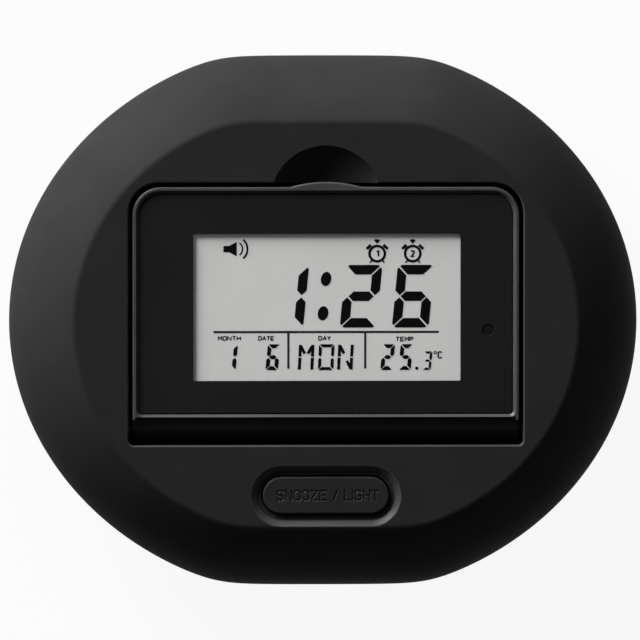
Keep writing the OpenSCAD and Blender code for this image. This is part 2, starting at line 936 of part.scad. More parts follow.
module window_layer(margin_x, margin_y, z0, z1) {
    box(-window_w / 2 - margin_x, window_w / 2 + margin_x, window_y - window_l / 2 - margin_y,
        window_y + window_l / 2 + margin_y, z0, z1);
}

module display_window() {
    color([0.8, 0.85, 0.85, 0.4])
    window_layer(pane_margin, pane_margin, z_pane, z_ledge);
}

module lcd_glass() {
    color("#b8bbb4")
    window_layer(lcd_margin, lcd_margin, z_lcd, z_pane);
}

module lcd_backlight() {
    color("aliceblue")
    window_layer(lcd_margin, lcd_margin - strip_w - slip, z_strip, z_lcd);
}

module zebra_strips() {
    middle = window_l / 2 + lcd_margin - strip_w / 2;
    color("dimgray")
    for (s = [-1, 1])
        translate([0, window_y + s * middle, 0])
            box(-window_w / 2, window_w / 2, -strip_w / 2, strip_w / 2, z_strip, z_lcd);
}

module lcd_board() {
    color("darkgreen")
    union() {
        window_layer(lcd_margin, lcd_margin, z_lcd_board, z_strip);
        box(window_w / 2, sensor_x + sensor_d / 2, sensor_y - sensor_d, sensor_y + sensor_d,
            z_lcd_board, z_strip);
    }
}

module light_sensor() {
    sensor_r = sensor_d / 2 - slip;
    color("#0a0a0a")
    translate([sensor_x, sensor_y, z_strip])
        cylinder(z_faceplate - z_strip - faceplate_t / 4, sensor_r, sensor_r);
}

module hinge_pins() {
    color("silver")
    translate([0, hinge_y, hinge_z])
        for (s = [-1, 1])
            translate([s * panel_half, 0, 0])
                mirror([s < 0 ? 1 : 0, 0, 0])
                    rod_x(pin_r, slip - pin_in, panel_gap + pin_out - 2 * pin_room);
}

// Buttons and keys
module snooze_button() {
    flange_r = snooze_l / 2 + button_fit + flange_w;
    flange_top = snooze_hole_z - slip;
    stem_end = z_board_top + tact_h + tact_nub_h + snooze_travel + slip;
    cap_h = z_face + snooze_proud - snooze_bevel - flange_top;
    color("#202022")
    translate([0, snooze_y, 0])
    union() {
        translate([0, 0, flange_top - weld])
            oblong(snooze_w, snooze_l / 2, snooze_l / 2, cap_h + weld);
        translate([0, 0, flange_top + cap_h])
            oblong(snooze_w, snooze_l / 2, snooze_l / 2 - snooze_bevel, snooze_bevel);
        translate([0, 0, flange_top - flange_t])
            oblong(snooze_w + 2 * (button_fit + flange_w), flange_r, flange_r, flange_t);
        translate([0, 0, stem_end])
            cylinder(flange_top - stem_end - weld, snooze_stem_r, snooze_stem_r);
    }
}

module setting_key(i) {
    flange_top = z_well_under - slip;
    stem_end = z_board_top + tact_h + tact_nub_h + key_travel + slip;
    color("#3a3a3d")
    translate([key_x[i], key_y, 0])
    union() {
        translate([0, 0, flange_top - weld])
            cylinder(z_well + key_proud - flange_top + weld, key_d / 2, key_d / 2);
        translate([0, 0, stem_end])
            cylinder(flange_top - stem_end, key_d / 2 + flange_w, key_d / 2 + flange_w);
    }
}

module time_key() {
    setting_key(0);
}

module alarm_1_key() {
    setting_key(1);
}

module alarm_2_key() {
    setting_key(2);
}

module down_key() {
    setting_key(3);
}

module up_key() {
    setting_key(4);
}

module mode_switch_knob() {
    plate_top = z_well_under - slip;
    plate_end = z_board_top + mode_body_h + slip;
    color("#3a3a3d")
    translate([0, mode_y, 0])
    union() {
        box(-mode_finger[0] / 2, mode_finger[0] / 2, -mode_finger[1] / 2, mode_finger[1] / 2,
            plate_end, z_well + key_proud);
        box(-mode_plate[0] / 2, mode_plate[0] / 2, -mode_plate[1] / 2, mode_plate[1] / 2,
            plate_end, plate_top);
    }
}

top_shell();
bottom_shell();
rubber_feet();
housing_screws();
main_board();
board_screws();
clock_chip();
tact_switches();
mode_switch_body();
battery_cells();
battery_contacts();
motor_can();
motor_end_cap();
motor_clamp();
clamp_screws();
buzzer_cup();
buzzer_disc();
display_frame();
display_back();
display_screws();
display_faceplate();
display_window();
lcd_glass();
lcd_backlight();
zebra_strips();
lcd_board();
light_sensor();
hinge_pins();
snooze_button();
time_key();
alarm_1_key();
alarm_2_key();
up_key();
down_key();
mode_switch_knob();
motor_shaft();
motor_armature();
eccentric_weight();
battery_door();
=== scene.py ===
"""Looks of an under-pillow vibrating alarm clock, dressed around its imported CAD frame."""
import math

import bpy
from mathutils import Matrix, Vector


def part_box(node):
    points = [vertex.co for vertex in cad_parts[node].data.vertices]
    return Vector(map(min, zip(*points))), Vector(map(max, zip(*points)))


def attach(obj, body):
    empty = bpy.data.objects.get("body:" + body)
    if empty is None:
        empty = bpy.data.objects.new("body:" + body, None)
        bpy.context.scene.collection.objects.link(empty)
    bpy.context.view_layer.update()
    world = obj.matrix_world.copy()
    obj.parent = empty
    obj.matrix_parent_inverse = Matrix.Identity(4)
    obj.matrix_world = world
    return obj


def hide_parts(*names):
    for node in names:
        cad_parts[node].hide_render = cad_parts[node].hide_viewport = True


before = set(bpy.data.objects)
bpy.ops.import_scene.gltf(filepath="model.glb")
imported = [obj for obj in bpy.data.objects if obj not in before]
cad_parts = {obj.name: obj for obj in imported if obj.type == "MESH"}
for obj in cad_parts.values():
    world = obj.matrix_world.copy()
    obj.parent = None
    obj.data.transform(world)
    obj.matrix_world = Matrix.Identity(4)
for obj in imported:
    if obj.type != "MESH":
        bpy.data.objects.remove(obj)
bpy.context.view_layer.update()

# Sizes below are in millimetres, in the frame's own axes. Blender's are in metres.
MM = 0.001
# Steps of a corner, of a rounded edge and of a full round
CORNER_STEPS, EDGE_STEPS, ROUND_STEPS = 10, 5, 48
# Angles of the rings of a rounded edge
QUARTER = [math.pi / 2 * k / EDGE_STEPS for k in range(EDGE_STEPS + 1)]
# A cutter's flare ends this far above a face, the cutter goes this far past it, and a hole leaves this room
LIFT, BEYOND, SLACK = 0.02, 1.0, 0.1


def cad(node):
    """Lowest and highest corner of a CAD node, in millimetres."""
    low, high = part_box(node)
    return Vector(low) / MM, Vector(high) / MM


def middle(node):
    low, high = cad(node)
    return (low + high) / 2


# Meshes

class Form:
    """Vertices and faces, in millimetres, of a piece that is made of closed lofts."""

    def __init__(self):
        self.verts = []
        self.faces = []

    def skin(self, rings, joins):
        """Faces from each ring to the next, for a number of joins; gives the place of the first vertex."""
        start, count = len(self.verts), len(rings[0])
        for ring in rings:
            self.verts.extend(ring)
        for k in range(joins):
            a, b = start + k * count, start + (k + 1) % len(rings) * count
            for i in range(count):
                j = (i + 1) % count
                self.faces.append((a + i, a + j, b + j, b + i))
        return start

    def loft(self, rings):
        """Skin over rings of equal length, from the lowest upwards, with a face over each end."""
        count, joins = len(rings[0]), len(rings) - 1
        start = self.skin(rings, joins)
        last = start + joins * count
        self.faces.append(tuple(range(start + count - 1, start - 1, -1)))
        self.faces.append(tuple(range(last, last + count)))
        return self

    def loop(self, rings):
        """Skin over rings that run round and meet again."""
        self.skin(rings, len(rings))
        return self

    def join(self, *forms):
        """Takes in other forms that lie clear of this one."""
        for form in forms:
            start = len(self.verts)
            self.verts.extend(form.verts)
            self.faces.extend(tuple(start + i for i in face) for face in form.faces)
        return self

    def turned(self, place):
        """Every vertex moved by a function of its place."""
        self.verts = [tuple(place(Vector(v))) for v in self.verts]
        return self

    def make(self, name, finish=None):
        mesh = bpy.data.meshes.new(name)
        mesh.from_pydata([Vector(v) * MM for v in self.verts], [], self.faces)
        mesh.update()
        if finish:
            mesh.materials.append(finish)
        obj = bpy.data.objects.new(name, mesh)
        bpy.context.scene.collection.objects.link(obj)
        return obj


def carve(obj, *forms, operation="DIFFERENCE"):
    """Cuts each form out of the piece, or fuses it on."""
    for form in forms:
        cutter = form.make("cutter")
        cut = obj.modifiers.new("cut", "BOOLEAN")
        cut.operation = operation
        cut.solver = "EXACT"
        cut.object = cutter
        graph = bpy.context.evaluated_depsgraph_get()
        carved = bpy.data.meshes.new_from_object(obj.evaluated_get(graph))
        obj.modifiers.remove(cut)
        old, obj.data = obj.data, carved
        carved.name = old.name
        bpy.data.meshes.remove(old)
        spent = cutter.data
        bpy.data.objects.remove(cutter)
        bpy.data.meshes.remove(spent)
    return obj


def as_form(obj):
    """The mesh of a scratch piece as a form, and the piece removed."""
    form = Form()
    form.verts = [tuple(v.co / MM) for v in obj.data.vertices]
    form.faces = [tuple(face.vertices) for face in obj.data.polygons]
    bpy.data.objects.remove(obj)
    return form


SHARP_ANGLE = math.radians(30)


def soften(obj):
    """Smooth shading that keeps flat faces flat and edges above the angle crisp."""
    obj.data.shade_smooth()
    obj.data.set_sharp_from_angle(angle=SHARP_ANGLE)
    even = obj.modifiers.new("even", "WEIGHTED_NORMAL")
    even.keep_sharp = True
    return obj


def second_finish(obj, finish, test):
    """Another finish on the faces whose middle passes a test; here a lighter finish that paints a highlight.
    """
    obj.data.materials.append(finish)
    for face in obj.data.polygons:
        if test(face.center / MM):
            face.material_index = len(obj.data.materials) - 1


def dress(obj, body, slot, *nodes):
    """The piece rides on a body and stands for CAD nodes, which it hides; its slot is not used."""
    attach(obj, body)
    if nodes:
        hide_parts(*nodes)
    return obj


def span(place, width):
    return place - width / 2, place + width / 2


def cornered(corners, quarters, z):
    """Ring of corners, each with its middle, radius and first angle, that turn by a number of quarters."""
    ring = []
    for x, y, r, start in corners:
        for k in range(quarters * CORNER_STEPS + 1):
            a = math.radians(start + 90 * k / CORNER_STEPS)
            ring.append((x + r * math.cos(a), y + r * math.sin(a), z))
    return ring


def plan(x_half, y_low, y_high, r_low, r_high, z):
    """Ring of a rounded rectangle, with a radius for its lower and one for its upper corners."""
    x0, x1, y0, y1 = x_half - r_low, x_half - r_high, y_low + r_low, y_high - r_high
    corners = ((x0, y0, r_low, -90), (x1, y1, r_high, 0), (-x1, y1, r_high, 90), (-x0, y0, r_low, 180))
    return cornered(corners, 1, z)


def oblong(w, l, y, z):
    """Ring with straight long sides and half-round ends, on the middle line."""
    r = l / 2
    x = w / 2 - r
    return cornered(((x, y, r, -90), (-x, y, r, 90)), 2, z)


def circle(r, x, y, z, steps=ROUND_STEPS):
    return [(x + r * math.cos(math.tau * k / steps), y + r * math.sin(math.tau * k / steps), z)
            for k in range(steps)]


def rounded(z, r, way):
    """Inset and height of the rings of an edge that is rounded upwards or downwards from a height."""
    angles = QUARTER if r else QUARTER[-1:]
    return [(r * (1 - math.sin(a)), z + way * r * (1 - math.cos(a))) for a in angles]


def edges(z_low, z_high, r_low, r_high):
    """Inset and height of the rings of a slab whose lower and upper edges are rounded."""
    return rounded(z_low, r_low, 1) + rounded(z_high, r_high, -1)[::-1]


def pocket(z_floor, z_face, r_floor, r_face):
    """Inset and height of the rings of a cutter with a rounded floor that rolls over the face's edge."""
    roll = [(-r_face * (1 - math.cos(a)), z_face - r_face * (1 - math.sin(a))) for a in QUARTER[:-1]]
    return rounded(z_floor, r_floor, 1) + roll + [(-r_face, z_face + LIFT), (-r_face, z_face + BEYOND)]


def lofted(ring_at, profile):
    """Form lofted over an inset and height profile."""
    return Form().loft([ring_at(inset, z) for inset, z in profile])


def block(x_half, y_low, y_high, r, profile, shrink=0):
    """Rounded rectangle over a profile; its corner radius shrinks by a share of the inset."""
    def ring(inset, z):
        corner = r - shrink * inset
        return plan(x_half - inset, y_low + inset, y_high - inset, corner, corner, z)

    return lofted(ring, profile)


def round_form(r, x, y, profile, steps=ROUND_STEPS):
    """Round form over a profile."""
    return lofted(lambda inset, z: circle(r - inset, x, y, z, steps), profile)


def oblong_form(w, l, y, profile):
    """Form with half-round ends over a profile."""
    return lofted(lambda inset, z: oblong(w - 2 * inset, l - 2 * inset, y, z), profile)


def box(x0, x1, y0, y1, z0, z1):
    ends = [[(x0, y0, z), (x1, y0, z), (x1, y1, z), (x0, y1, z)] for z in (z0, z1)]
    return Form().loft(ends)


def drum(r, x, y, z0, z1):
    return Form().loft([circle(r, x, y, z) for z in (z0, z1)])


def drums(places, r, z0, z1):
    return Form().join(*[drum(r, x, y, z0, z1) for x, y in places])


def along_x(form, y, z):
    """Lays a form that stands on the origin along the X axis, at a height and a place."""
    return form.turned(lambda v: (v.z, y + v.x, z + v.y))


# Materials

MOTTLE_DETAIL, GRAIN_DETAIL = 4, 3
TINT_STOPS = (0.3, 0.7)
GRAIN_HEIGHT = 0.1
LEAST_ROUGH = 0.02


def material(name, colour, roughness, variation=0.15, grain_mm=0.35, bump=0.06, mottle_mm=9.0,
             metallic=0.0, specular=0.5, alpha=1.0, rough_spread=0.06):
    """Procedural finish: a fine grain in the bump, and a slow mottle in the colour and the gloss."""
    mat = bpy.data.materials.new(name + "_finish")
    mat.use_nodes = True
    nodes, links = mat.node_tree.nodes, mat.node_tree.links
    shader = nodes["Principled BSDF"]
    shader.inputs["Metallic"].default_value = metallic
    shader.inputs["Specular IOR Level"].default_value = specular
    shader.inputs["Alpha"].default_value = alpha
    place = nodes.new("ShaderNodeTexCoord")

    mottle = nodes.new("ShaderNodeTexNoise")
    mottle.inputs["Scale"].default_value = 1 / (mottle_mm * MM)
    mottle.inputs["Detail"].default_value = MOTTLE_DETAIL
    links.new(place.outputs["Object"], mottle.inputs["Vector"])
    tint = nodes.new("ShaderNodeValToRGB")
    for stop, position, share in zip(tint.color_ramp.elements, TINT_STOPS, (1 - variation, 1 + variation)):
        stop.color = [min(1.0, c * share) for c in colour] + [1]
        stop.position = position
    links.new(mottle.outputs["Fac"], tint.inputs["Fac"])
    links.new(tint.outputs["Color"], shader.inputs["Base Color"])

    grain = nodes.new("ShaderNodeTexNoise")
    grain.inputs["Scale"].default_value = 1 / (grain_mm * MM)
    grain.inputs["Detail"].default_value = GRAIN_DETAIL
    links.new(place.outputs["Object"], grain.inputs["Vector"])
    gloss = nodes.new("ShaderNodeMapRange")
    gloss.inputs["To Min"].default_value = max(LEAST_ROUGH, roughness - rough_spread)
    gloss.inputs["To Max"].default_value = min(1.0, roughness + rough_spread)
    links.new(grain.outputs["Fac"], gloss.inputs["Value"])
    links.new(gloss.outputs["Result"], shader.inputs["Roughness"])
    relief = nodes.new("ShaderNodeBump")
    relief.inputs["Strength"].default_value = bump
    relief.inputs["Distance"].default_value = GRAIN_HEIGHT * MM
    links.new(grain.outputs["Fac"], relief.inputs["Height"])
    links.new(relief.outputs["Normal"], shader.inputs["Normal"])
    return mat


SHELL = material("satin_black", (0.0145, 0.0145, 0.015), 0.75, variation=0.07, grain_mm=0.3, bump=0.1,
                 specular=0.025)
# Lighter, glossier copy of the shell's finish that paints a highlight on the well's edge and the dish's slope
BEVEL_PAINTED_HIGHLIGHT = material("bevel_painted_highlight", (0.027, 0.027, 0.0275), 0.5, variation=0.07, grain_mm=0.3, bump=0.05,
                 specular=0.1)
FRAME = material("frame_black", (0.0105, 0.0105, 0.011), 0.45, grain_mm=0.25, bump=0.06, specular=0.1)
# Lighter copy of the frame's finish that paints the highlight along the rim's crest
RIM_PAINTED_HIGHLIGHT = material("frame_rim_painted_highlight", (0.034, 0.034, 0.035), 0.42, grain_mm=0.25, bump=0.04, specular=0.2)
FACEPLATE = material("gloss_black", (0.0098, 0.0098, 0.0101), 0.2, variation=0.06, bump=0.01, mottle_mm=25,
                     specular=0.018, rough_spread=0.02)
BUTTON = material("button_black", (0.0142, 0.0142, 0.0147), 0.45, grain_mm=0.25, bump=0.06, specular=0.05)
PANE = material("clear_pane", (0.006, 0.006, 0.006), 0.06, variation=0.03, bump=0.004, alpha=0.05,
                specular=0.1, rough_spread=0.02)
LCD = material("lcd_grey", (0.53, 0.53, 0.52), 0.4, variation=0.02, grain_mm=0.12, bump=0.01, mottle_mm=14,
               specular=0.05)
PRINT = material("lcd_print", (0.02, 0.02, 0.021), 0.5, bump=0.01, specular=0.05)
INK = material("lcd_ink", (0.0022, 0.0023, 0.0026), 0.5, bump=0.01, specular=0.05)
RUBBER = material("rubber", (0.02, 0.02, 0.021), 0.85, variation=0.3, grain_mm=0.18, bump=0.25, specular=0.25)
KEY = material("key_grey", (0.045, 0.045, 0.048), 0.5, grain_mm=0.25, bump=0.08)
MARK = material("mark_white", (0.72, 0.72, 0.7), 0.55, variation=0.04, bump=0.02)
STEEL = material("steel", (0.55, 0.55, 0.54), 0.3, variation=0.1, grain_mm=0.6, bump=0.05, metallic=1.0)
BURNISHED = material("burnished_pin", (0.03, 0.03, 0.032), 0.45, variation=0.1, grain_mm=0.4, bump=0.05,
                     metallic=1.0)
BRASS = material("brass", (0.62, 0.45, 0.2), 0.32, variation=0.12, grain_mm=0.6, bump=0.05, metallic=1.0)
BOARD = material("board_green", (0.02, 0.11, 0.05), 0.4, variation=0.25, grain_mm=0.5, bump=0.08, mottle_mm=3)
CHIP = material("chip_black", (0.018, 0.018, 0.02), 0.6, grain_mm=0.12, bump=0.15)
SWITCH = material("switch_grey", (0.09, 0.09, 0.095), 0.5, bump=0.05)
SLEEVE = material("cell_sleeve", (0.06, 0.12, 0.24), 0.3, variation=0.08, grain_mm=0.8, bump=0.03)
BACKLIGHT = material("light_guide", (0.78, 0.8, 0.8), 0.35, variation=0.03, bump=0.02)
ZEBRA = material("zebra_rubber", (0.07, 0.07, 0.075), 0.75, variation=0.3, grain_mm=0.2, bump=0.2)
END_CAP = material("motor_plastic", (0.7, 0.68, 0.62), 0.45, bump=0.05)
LENS = material("sensor_lens", (0.004, 0.003, 0.005), 0.12, bump=0.01)
COPPER = material("armature_copper", (0.55, 0.24, 0.12), 0.35, variation=0.2, grain_mm=0.4, bump=0.25,
                  metallic=1.0)
WEIGHT = material("sintered_weight", (0.36, 0.36, 0.37), 0.42, variation=0.15, grain_mm=0.25, bump=0.2,
                  metallic=1.0)


# Housing: two moulded halves on an oval outline that is flattened at its upper and lower side

TOP_LOW, TOP_HIGH = cad("top_shell")
HALF_X, FLAT_Y = TOP_HIGH.x, TOP_HIGH.y
FLAT_CUT = 2.45
OVAL_Y = FLAT_Y + FLAT_CUT
Z_PART, Z_FACE, Z_UNDER = TOP_LOW.z, TOP_HIGH.z, cad("bottom_shell")[0].z
WALL = 2.0
OUTLINE_STEPS = 288
ARC_STEPS = 26
SIDE_SLOPE = math.radians(85)
RING_SLOPE = math.radians(32)
CREASE_R = 1.8
FULLNESS, FULL_INSET = 0.5, 12.4
CREASE_STEPS = 8
PART_EDGE = 0.3
FLAT_POWER = 70


def outline(inset, z):
    """Ring around the housing, drawn in by an inset; the inner rings fill out towards the diagonals."""
    flat = FLAT_Y - inset
    fill = FULLNESS * min(1, inset / FULL_INSET)
    ring = []
    for k in range(OUTLINE_STEPS):
        t = math.tau * k / OUTLINE_STEPS
        grow = fill * math.sin(2 * t) ** 2
        y = (OVAL_Y - inset + grow) * math.sin(t)
        y /= (1 + (abs(y) / flat) ** FLAT_POWER) ** (1 / FLAT_POWER)
        ring.append(((HALF_X - inset + grow) * math.cos(t), y, z))
    return ring


def half_profile(height):
    """Inset and rise of a shell half: rounded parting edge, ring arc, soft crease into the flat face."""
    crease_rise = CREASE_R * (1 - math.cos(RING_SLOPE))
    arc_r = (height - crease_rise) / (math.cos(RING_SLOPE) - math.cos(SIDE_SLOPE))
    points = [(PART_EDGE * (1 - math.sin(a)), PART_EDGE * (1 - math.cos(a)))
              for a in (SIDE_SLOPE * k / EDGE_STEPS for k in range(EDGE_STEPS))]
    for k in range(1, ARC_STEPS + 1):
        a = SIDE_SLOPE + (RING_SLOPE - SIDE_SLOPE) * k / ARC_STEPS
        points.append((arc_r * (math.sin(SIDE_SLOPE) - math.sin(a)),
                       arc_r * (math.cos(a) - math.cos(SIDE_SLOPE))))
    inset, rise = points[-1]
    for k in range(1, CREASE_STEPS + 1):
        a = RING_SLOPE * (1 - k / CREASE_STEPS)
        points.append((inset + CREASE_R * (math.sin(RING_SLOPE) - math.sin(a)),
                       rise + CREASE_R * (math.cos(a) - math.cos(RING_SLOPE))))
    return points


def shell_half(z_end, skin=0.0):
    """The half of the housing that ends at a height, or the space that a wall of a thickness leaves in it."""
    way = 1 if z_end > Z_PART else -1
    height = abs(z_end - Z_PART) - skin
    profile = [(inset + skin, Z_PART + way * rise) for inset, rise in half_profile(height)]
    if skin:
        profile = [(profile[0][0], Z_PART - way * BEYOND)] + profile
    return lofted(outline, profile[::way])


# Display well, thumb notch and snooze dish in the upper half

FRAME_LOW, FRAME_HIGH = cad("display_frame")
PLATE_LOW, PLATE_HIGH = cad("display_faceplate")
HINGE = middle("hinge_pins")
PIN_REACH = cad("hinge_pins")[1].x
RIM_W, RIM_GAP = 1.1, 0.1
PANEL_GAP, BARREL_GAP = 0.8, 0.3
PANEL_HALF = FRAME_HIGH.x
PANEL_TOP = PLATE_HIGH.y + RIM_W + RIM_GAP
PANEL_LOW = PLATE_LOW.y - RIM_W - RIM_GAP
PANEL_R, PANEL_R_LOW = 5.0, 0.3
BARREL_R = PANEL_LOW - FRAME_LOW.y
WELL_HALF = PANEL_HALF + PANEL_GAP
WELL_TOP = PANEL_TOP + PANEL_GAP
WELL_LOW = FRAME_LOW.y - BARREL_GAP
WELL_R, WELL_R_LOW = 5.3, 1.0
WELL_DEPTH = 9.0
Z_WELL = Z_FACE - WELL_DEPTH
FLOOR_FILLET = 0.5
FACE_EDGE, FACE_IN = 0.35, 0.1
HOLE_EDGE = 0.15
NOTCH_R, NOTCH_DEPTH, NOTCH_IN = 10.0, 4.0, 3.3
NOTCH_STEPS, NOTCH_SIDES, NOTCH_POLE = 18, 96, 0.2
SNOOZE_LOW, SNOOZE_HIGH = cad("snooze_button")
SNOOZE_W, SNOOZE_L, SNOOZE_Y = 22.4, 6.6, middle("snooze_button").y
DISH_MARGIN, DISH_DEPTH, DISH_BEVEL, DISH_SHIFT = 2.05, 1.0, 1.1, 0.1
DISH_W, DISH_L, DISH_Y = SNOOZE_W + 2 * DISH_MARGIN, SNOOZE_L + 2 * DISH_MARGIN, SNOOZE_Y - DISH_SHIFT
Z_DISH = Z_FACE - DISH_DEPTH
# Points that round the foot and the edge of the dish's slope: inset and rise, inset and depth
DISH_FOOT = ((0.25, 0), (0.08, 0.03), (-0.08, 0.14))
DISH_EDGE, DISH_LAP = ((0.14, 0.16), (0.02, 0.05)), 0.16
BUTTON_FIT = 0.25
KEYS = ("time_key", "alarm_1_key", "alarm_2_key", "down_key", "up_key")
KEY_R = 3.5
MODE_W, MODE_L, MODE_TRAVEL, SLOT_R = 4.0, 2.8, 2.0, 0.4
SCREW_PLACES = [(x, y) for x in (-24, 24) for y in (-32, 32)]
BOSS_R, SCREW_R = 4.2, 1.25
BOARD_PLACES = [(x, y) for x in (-27.5, 27.5) for y in (-17, 19.5)]
BOARD_BOSS_R, BOARD_SCREW_R = 2.2, 0.9
PIN_BORE, PIN_BOSS, PIN_ROOM = 1.05, 3.0, 0.3
# Bounds of the lighter second finish that paints a highlight: below the face, above the dish's floor and
# around its edge
FLUSH, DISH_FLAT, DISH_ROUND = 0.01, 0.1, 0.2


def well(inset, z):
    return plan(WELL_HALF - inset, WELL_LOW + inset, WELL_TOP - inset, WELL_R_LOW - inset, WELL_R - inset, z)


def well_cut():
    """The well, with a filleted floor and an edge that rolls over into the face."""
    profile = pocket(Z_WELL, Z_FACE, FLOOR_FILLET, FACE_EDGE)
    return lofted(well, [(inset + FACE_IN, z) for inset, z in profile])


def notch(skin=0.0):
    """Spoon-shaped thumb notch that breaks into the upper wall of the well."""
    ball_r = (NOTCH_R ** 2 + NOTCH_DEPTH ** 2) / (2 * NOTCH_DEPTH)
    z_ball, y = Z_FACE - NOTCH_DEPTH + ball_r, WELL_TOP - NOTCH_IN
    last = math.acos((z_ball - Z_FACE + FACE_EDGE) / ball_r)
    reach = [last * (k + NOTCH_POLE) / (NOTCH_STEPS + NOTCH_POLE) for k in range(NOTCH_STEPS + 1)]
    profile = [((ball_r + skin) * math.sin(a), z_ball - (ball_r + skin) * math.cos(a)) for a in reach]
    rim, z_rim = profile[-1]
    if not skin:
        profile += [(rim + FACE_EDGE * (1 - math.cos(a)), z_rim + FACE_EDGE * math.sin(a))
                    for a in QUARTER[1:-1]]
        profile += [(rim + FACE_EDGE, Z_FACE + LIFT)]
    profile += [(profile[-1][0], Z_FACE + BEYOND)]
    return Form().loft([circle(r, 0, y, z, NOTCH_SIDES) for r, z in profile])


def dish():
    """Bevelled dish around the snooze button."""
    profile = [(DISH_BEVEL + inset, Z_DISH + rise) for inset, rise in DISH_FOOT]
    profile += [(inset, Z_FACE - depth) for inset, depth in DISH_EDGE]
    profile += [(-DISH_LAP, Z_FACE + LIFT), (-DISH_LAP, Z_FACE + BEYOND)]
    return oblong_form(DISH_W, DISH_L, DISH_Y, profile)


def well_openings():
    """Holes in the floor of the well for the keys and the switch, and the snooze button's own."""
    holes = Form()
    profile = [(0, Z_WELL - WALL - BEYOND)] + pocket(Z_WELL - WALL, Z_WELL, 0, HOLE_EDGE)[1:]
    for key in KEYS:
        place = middle(key)
        holes.join(round_form(KEY_R + BUTTON_FIT, place.x, place.y, profile))
    slot_w, slot_l = MODE_W + 2 * (MODE_TRAVEL + BUTTON_FIT), MODE_L + 2 * BUTTON_FIT
    y = middle("mode_switch_knob").y
    holes.join(block(slot_w / 2, *span(y, slot_l), SLOT_R, profile))
    profile = [(0, Z_DISH - WALL - BEYOND)] + pocket(Z_DISH - WALL, Z_DISH, 0, HOLE_EDGE)[1:]
    return holes.join(oblong_form(SNOOZE_W + 2 * BUTTON_FIT, SNOOZE_L + 2 * BUTTON_FIT, SNOOZE_Y, profile))


def pin_rods(r, x0, x1):
    """Rods along the hinge axis on both sides."""
    rods = [along_x(drum(r, 0, 0, a, b), HINGE.y, HINGE.z) for a, b in ((x0, x1), (-x1, -x0))]
    return Form().join(*rods)


def on_painted_highlight(place):
    """True on the rounded edge of the well and on the slope of the dish, where a lighter finish paints a
    highlight.
    """
    r = WELL_R if place.y > 0 else WELL_R_LOW
    beside = max(abs(place.x) - WELL_HALF + r, 0)
    beyond = max(WELL_LOW + r - place.y, place.y - WELL_TOP + r, 0)
    if math.hypot(beside, beyond) < r + FACE_EDGE:
        return Z_FACE - FACE_EDGE < place.z < Z_FACE - FLUSH
    beside = max(abs(place.x) - (DISH_W - DISH_L) / 2, 0)
    in_dish = math.hypot(beside, place.y - DISH_Y) < DISH_L / 2 + DISH_ROUND
    return in_dish and Z_DISH + DISH_FLAT < place.z < Z_FACE - FLUSH


def upper_shell():
    z_screw = cad("housing_screws")[1].z
    z_board_screw = cad("board_screws")[1].z
    z_board = cad("main_board")[1].z
    dish_wall = oblong_form(DISH_W, DISH_L, DISH_Y, [(0, Z_DISH - WALL), (0, Z_FACE)])
    space = shell_half(Z_FACE, WALL).make("upper_space")
    carve(space, lofted(well, [(-WALL, Z_WELL - WALL), (-WALL, Z_FACE)]), notch(WALL), dish_wall,
          drums(SCREW_PLACES, BOSS_R, Z_PART + SLACK, Z_FACE),
          pin_rods(PIN_BOSS, WELL_HALF, PIN_REACH + BEYOND),
          drums(BOARD_PLACES, BOARD_BOSS_R, z_board, Z_WELL))
    shell = shell_half(Z_FACE).make("top_shell_moulding", SHELL)
    carve(shell, as_form(space), well_cut(), notch(), dish(),
          well_openings(), pin_rods(PIN_BORE, WELL_HALF - BEYOND, PIN_REACH + PIN_ROOM),
          drums(SCREW_PLACES, SCREW_R, Z_PART - BEYOND, z_screw + SLACK),
          drums(BOARD_PLACES, BOARD_SCREW_R, z_board - BEYOND, z_board_screw + SLACK))
    # The lighter finish paints a highlight on the well's edge and the dish's slope
    second_finish(shell, BEVEL_PAINTED_HIGHLIGHT, on_painted_highlight)
    dress(soften(shell), "base", "shell_black", "top_shell")


upper_shell()


# Lower half: battery hatch, foot seats, screw wells and sound holes

DOOR_LOW, DOOR_HIGH = cad("battery_door")
CELLS_LOW, CELLS_HIGH = cad("battery_cells")
FOOT_PLACES = [(x, y) for x in (-34, 34) for y in (-22, 22)]
FOOT_R, FOOT_FIT = 4.5, 0.05
DOOR_GAP = 0.3
DOOR_TAB_L, DOOR_TAB_ROOM = 1.6, 4.5
DOOR_TABS_X, DOOR_TAB_W = (-14, 14), 8.0
DOOR_R, HATCH_EDGE = 0.6, 0.3
HATCH_HALF = DOOR_HIGH.x + DOOR_GAP
HATCH_LOW = DOOR_LOW.y - DOOR_GAP
HATCH_TOP = DOOR_HIGH.y - DOOR_TAB_L + DOOR_GAP
BAY_LEDGE, BAY_WALL, BAY_ROOF = 1.2, 1.5, 1.0
BAY_SLIP = 0.2
Z_FLOOR = Z_UNDER + WALL
Z_BAY = CELLS_HIGH.z + BAY_SLIP
HEAD_R, HEAD_SINK, SHANK_FIT = 2.6, 4.0, 0.05
FOOT_WELL_EDGE, HEAD_WELL_EDGE, SOUND_EDGE = 0.15, 0.25, 0.2
MOTOR_LOW, MOTOR_HIGH = cad("motor_can")
MOTOR = middle("motor_can")
MOTOR_R = (MOTOR_HIGH.y - MOTOR_LOW.y) / 2
CRADLE_IN, CRADLE_T, CRADLE_DROP = 3.5, 2.0, 1
CLAMP_ASIDE, CLAMP_BOSS_R, CLAMP_SCREW_R = 3.3, 2.2, 0.9
CLAMP_PLACES = [(MOTOR.x, MOTOR.y + side * (MOTOR_R + CLAMP_ASIDE)) for side in (-1, 1)]
BUZZER = middle("buzzer_cup")
BUZZER_R = (cad("buzzer_cup")[1].x - cad("buzzer_cup")[0].x) / 2
BUZZER_RIB, BUZZER_RIB_H = 1.2, 2.5
SOUND_HOLES, SOUND_RING_R, SOUND_HOLE_R = 6, 3.0, 0.8


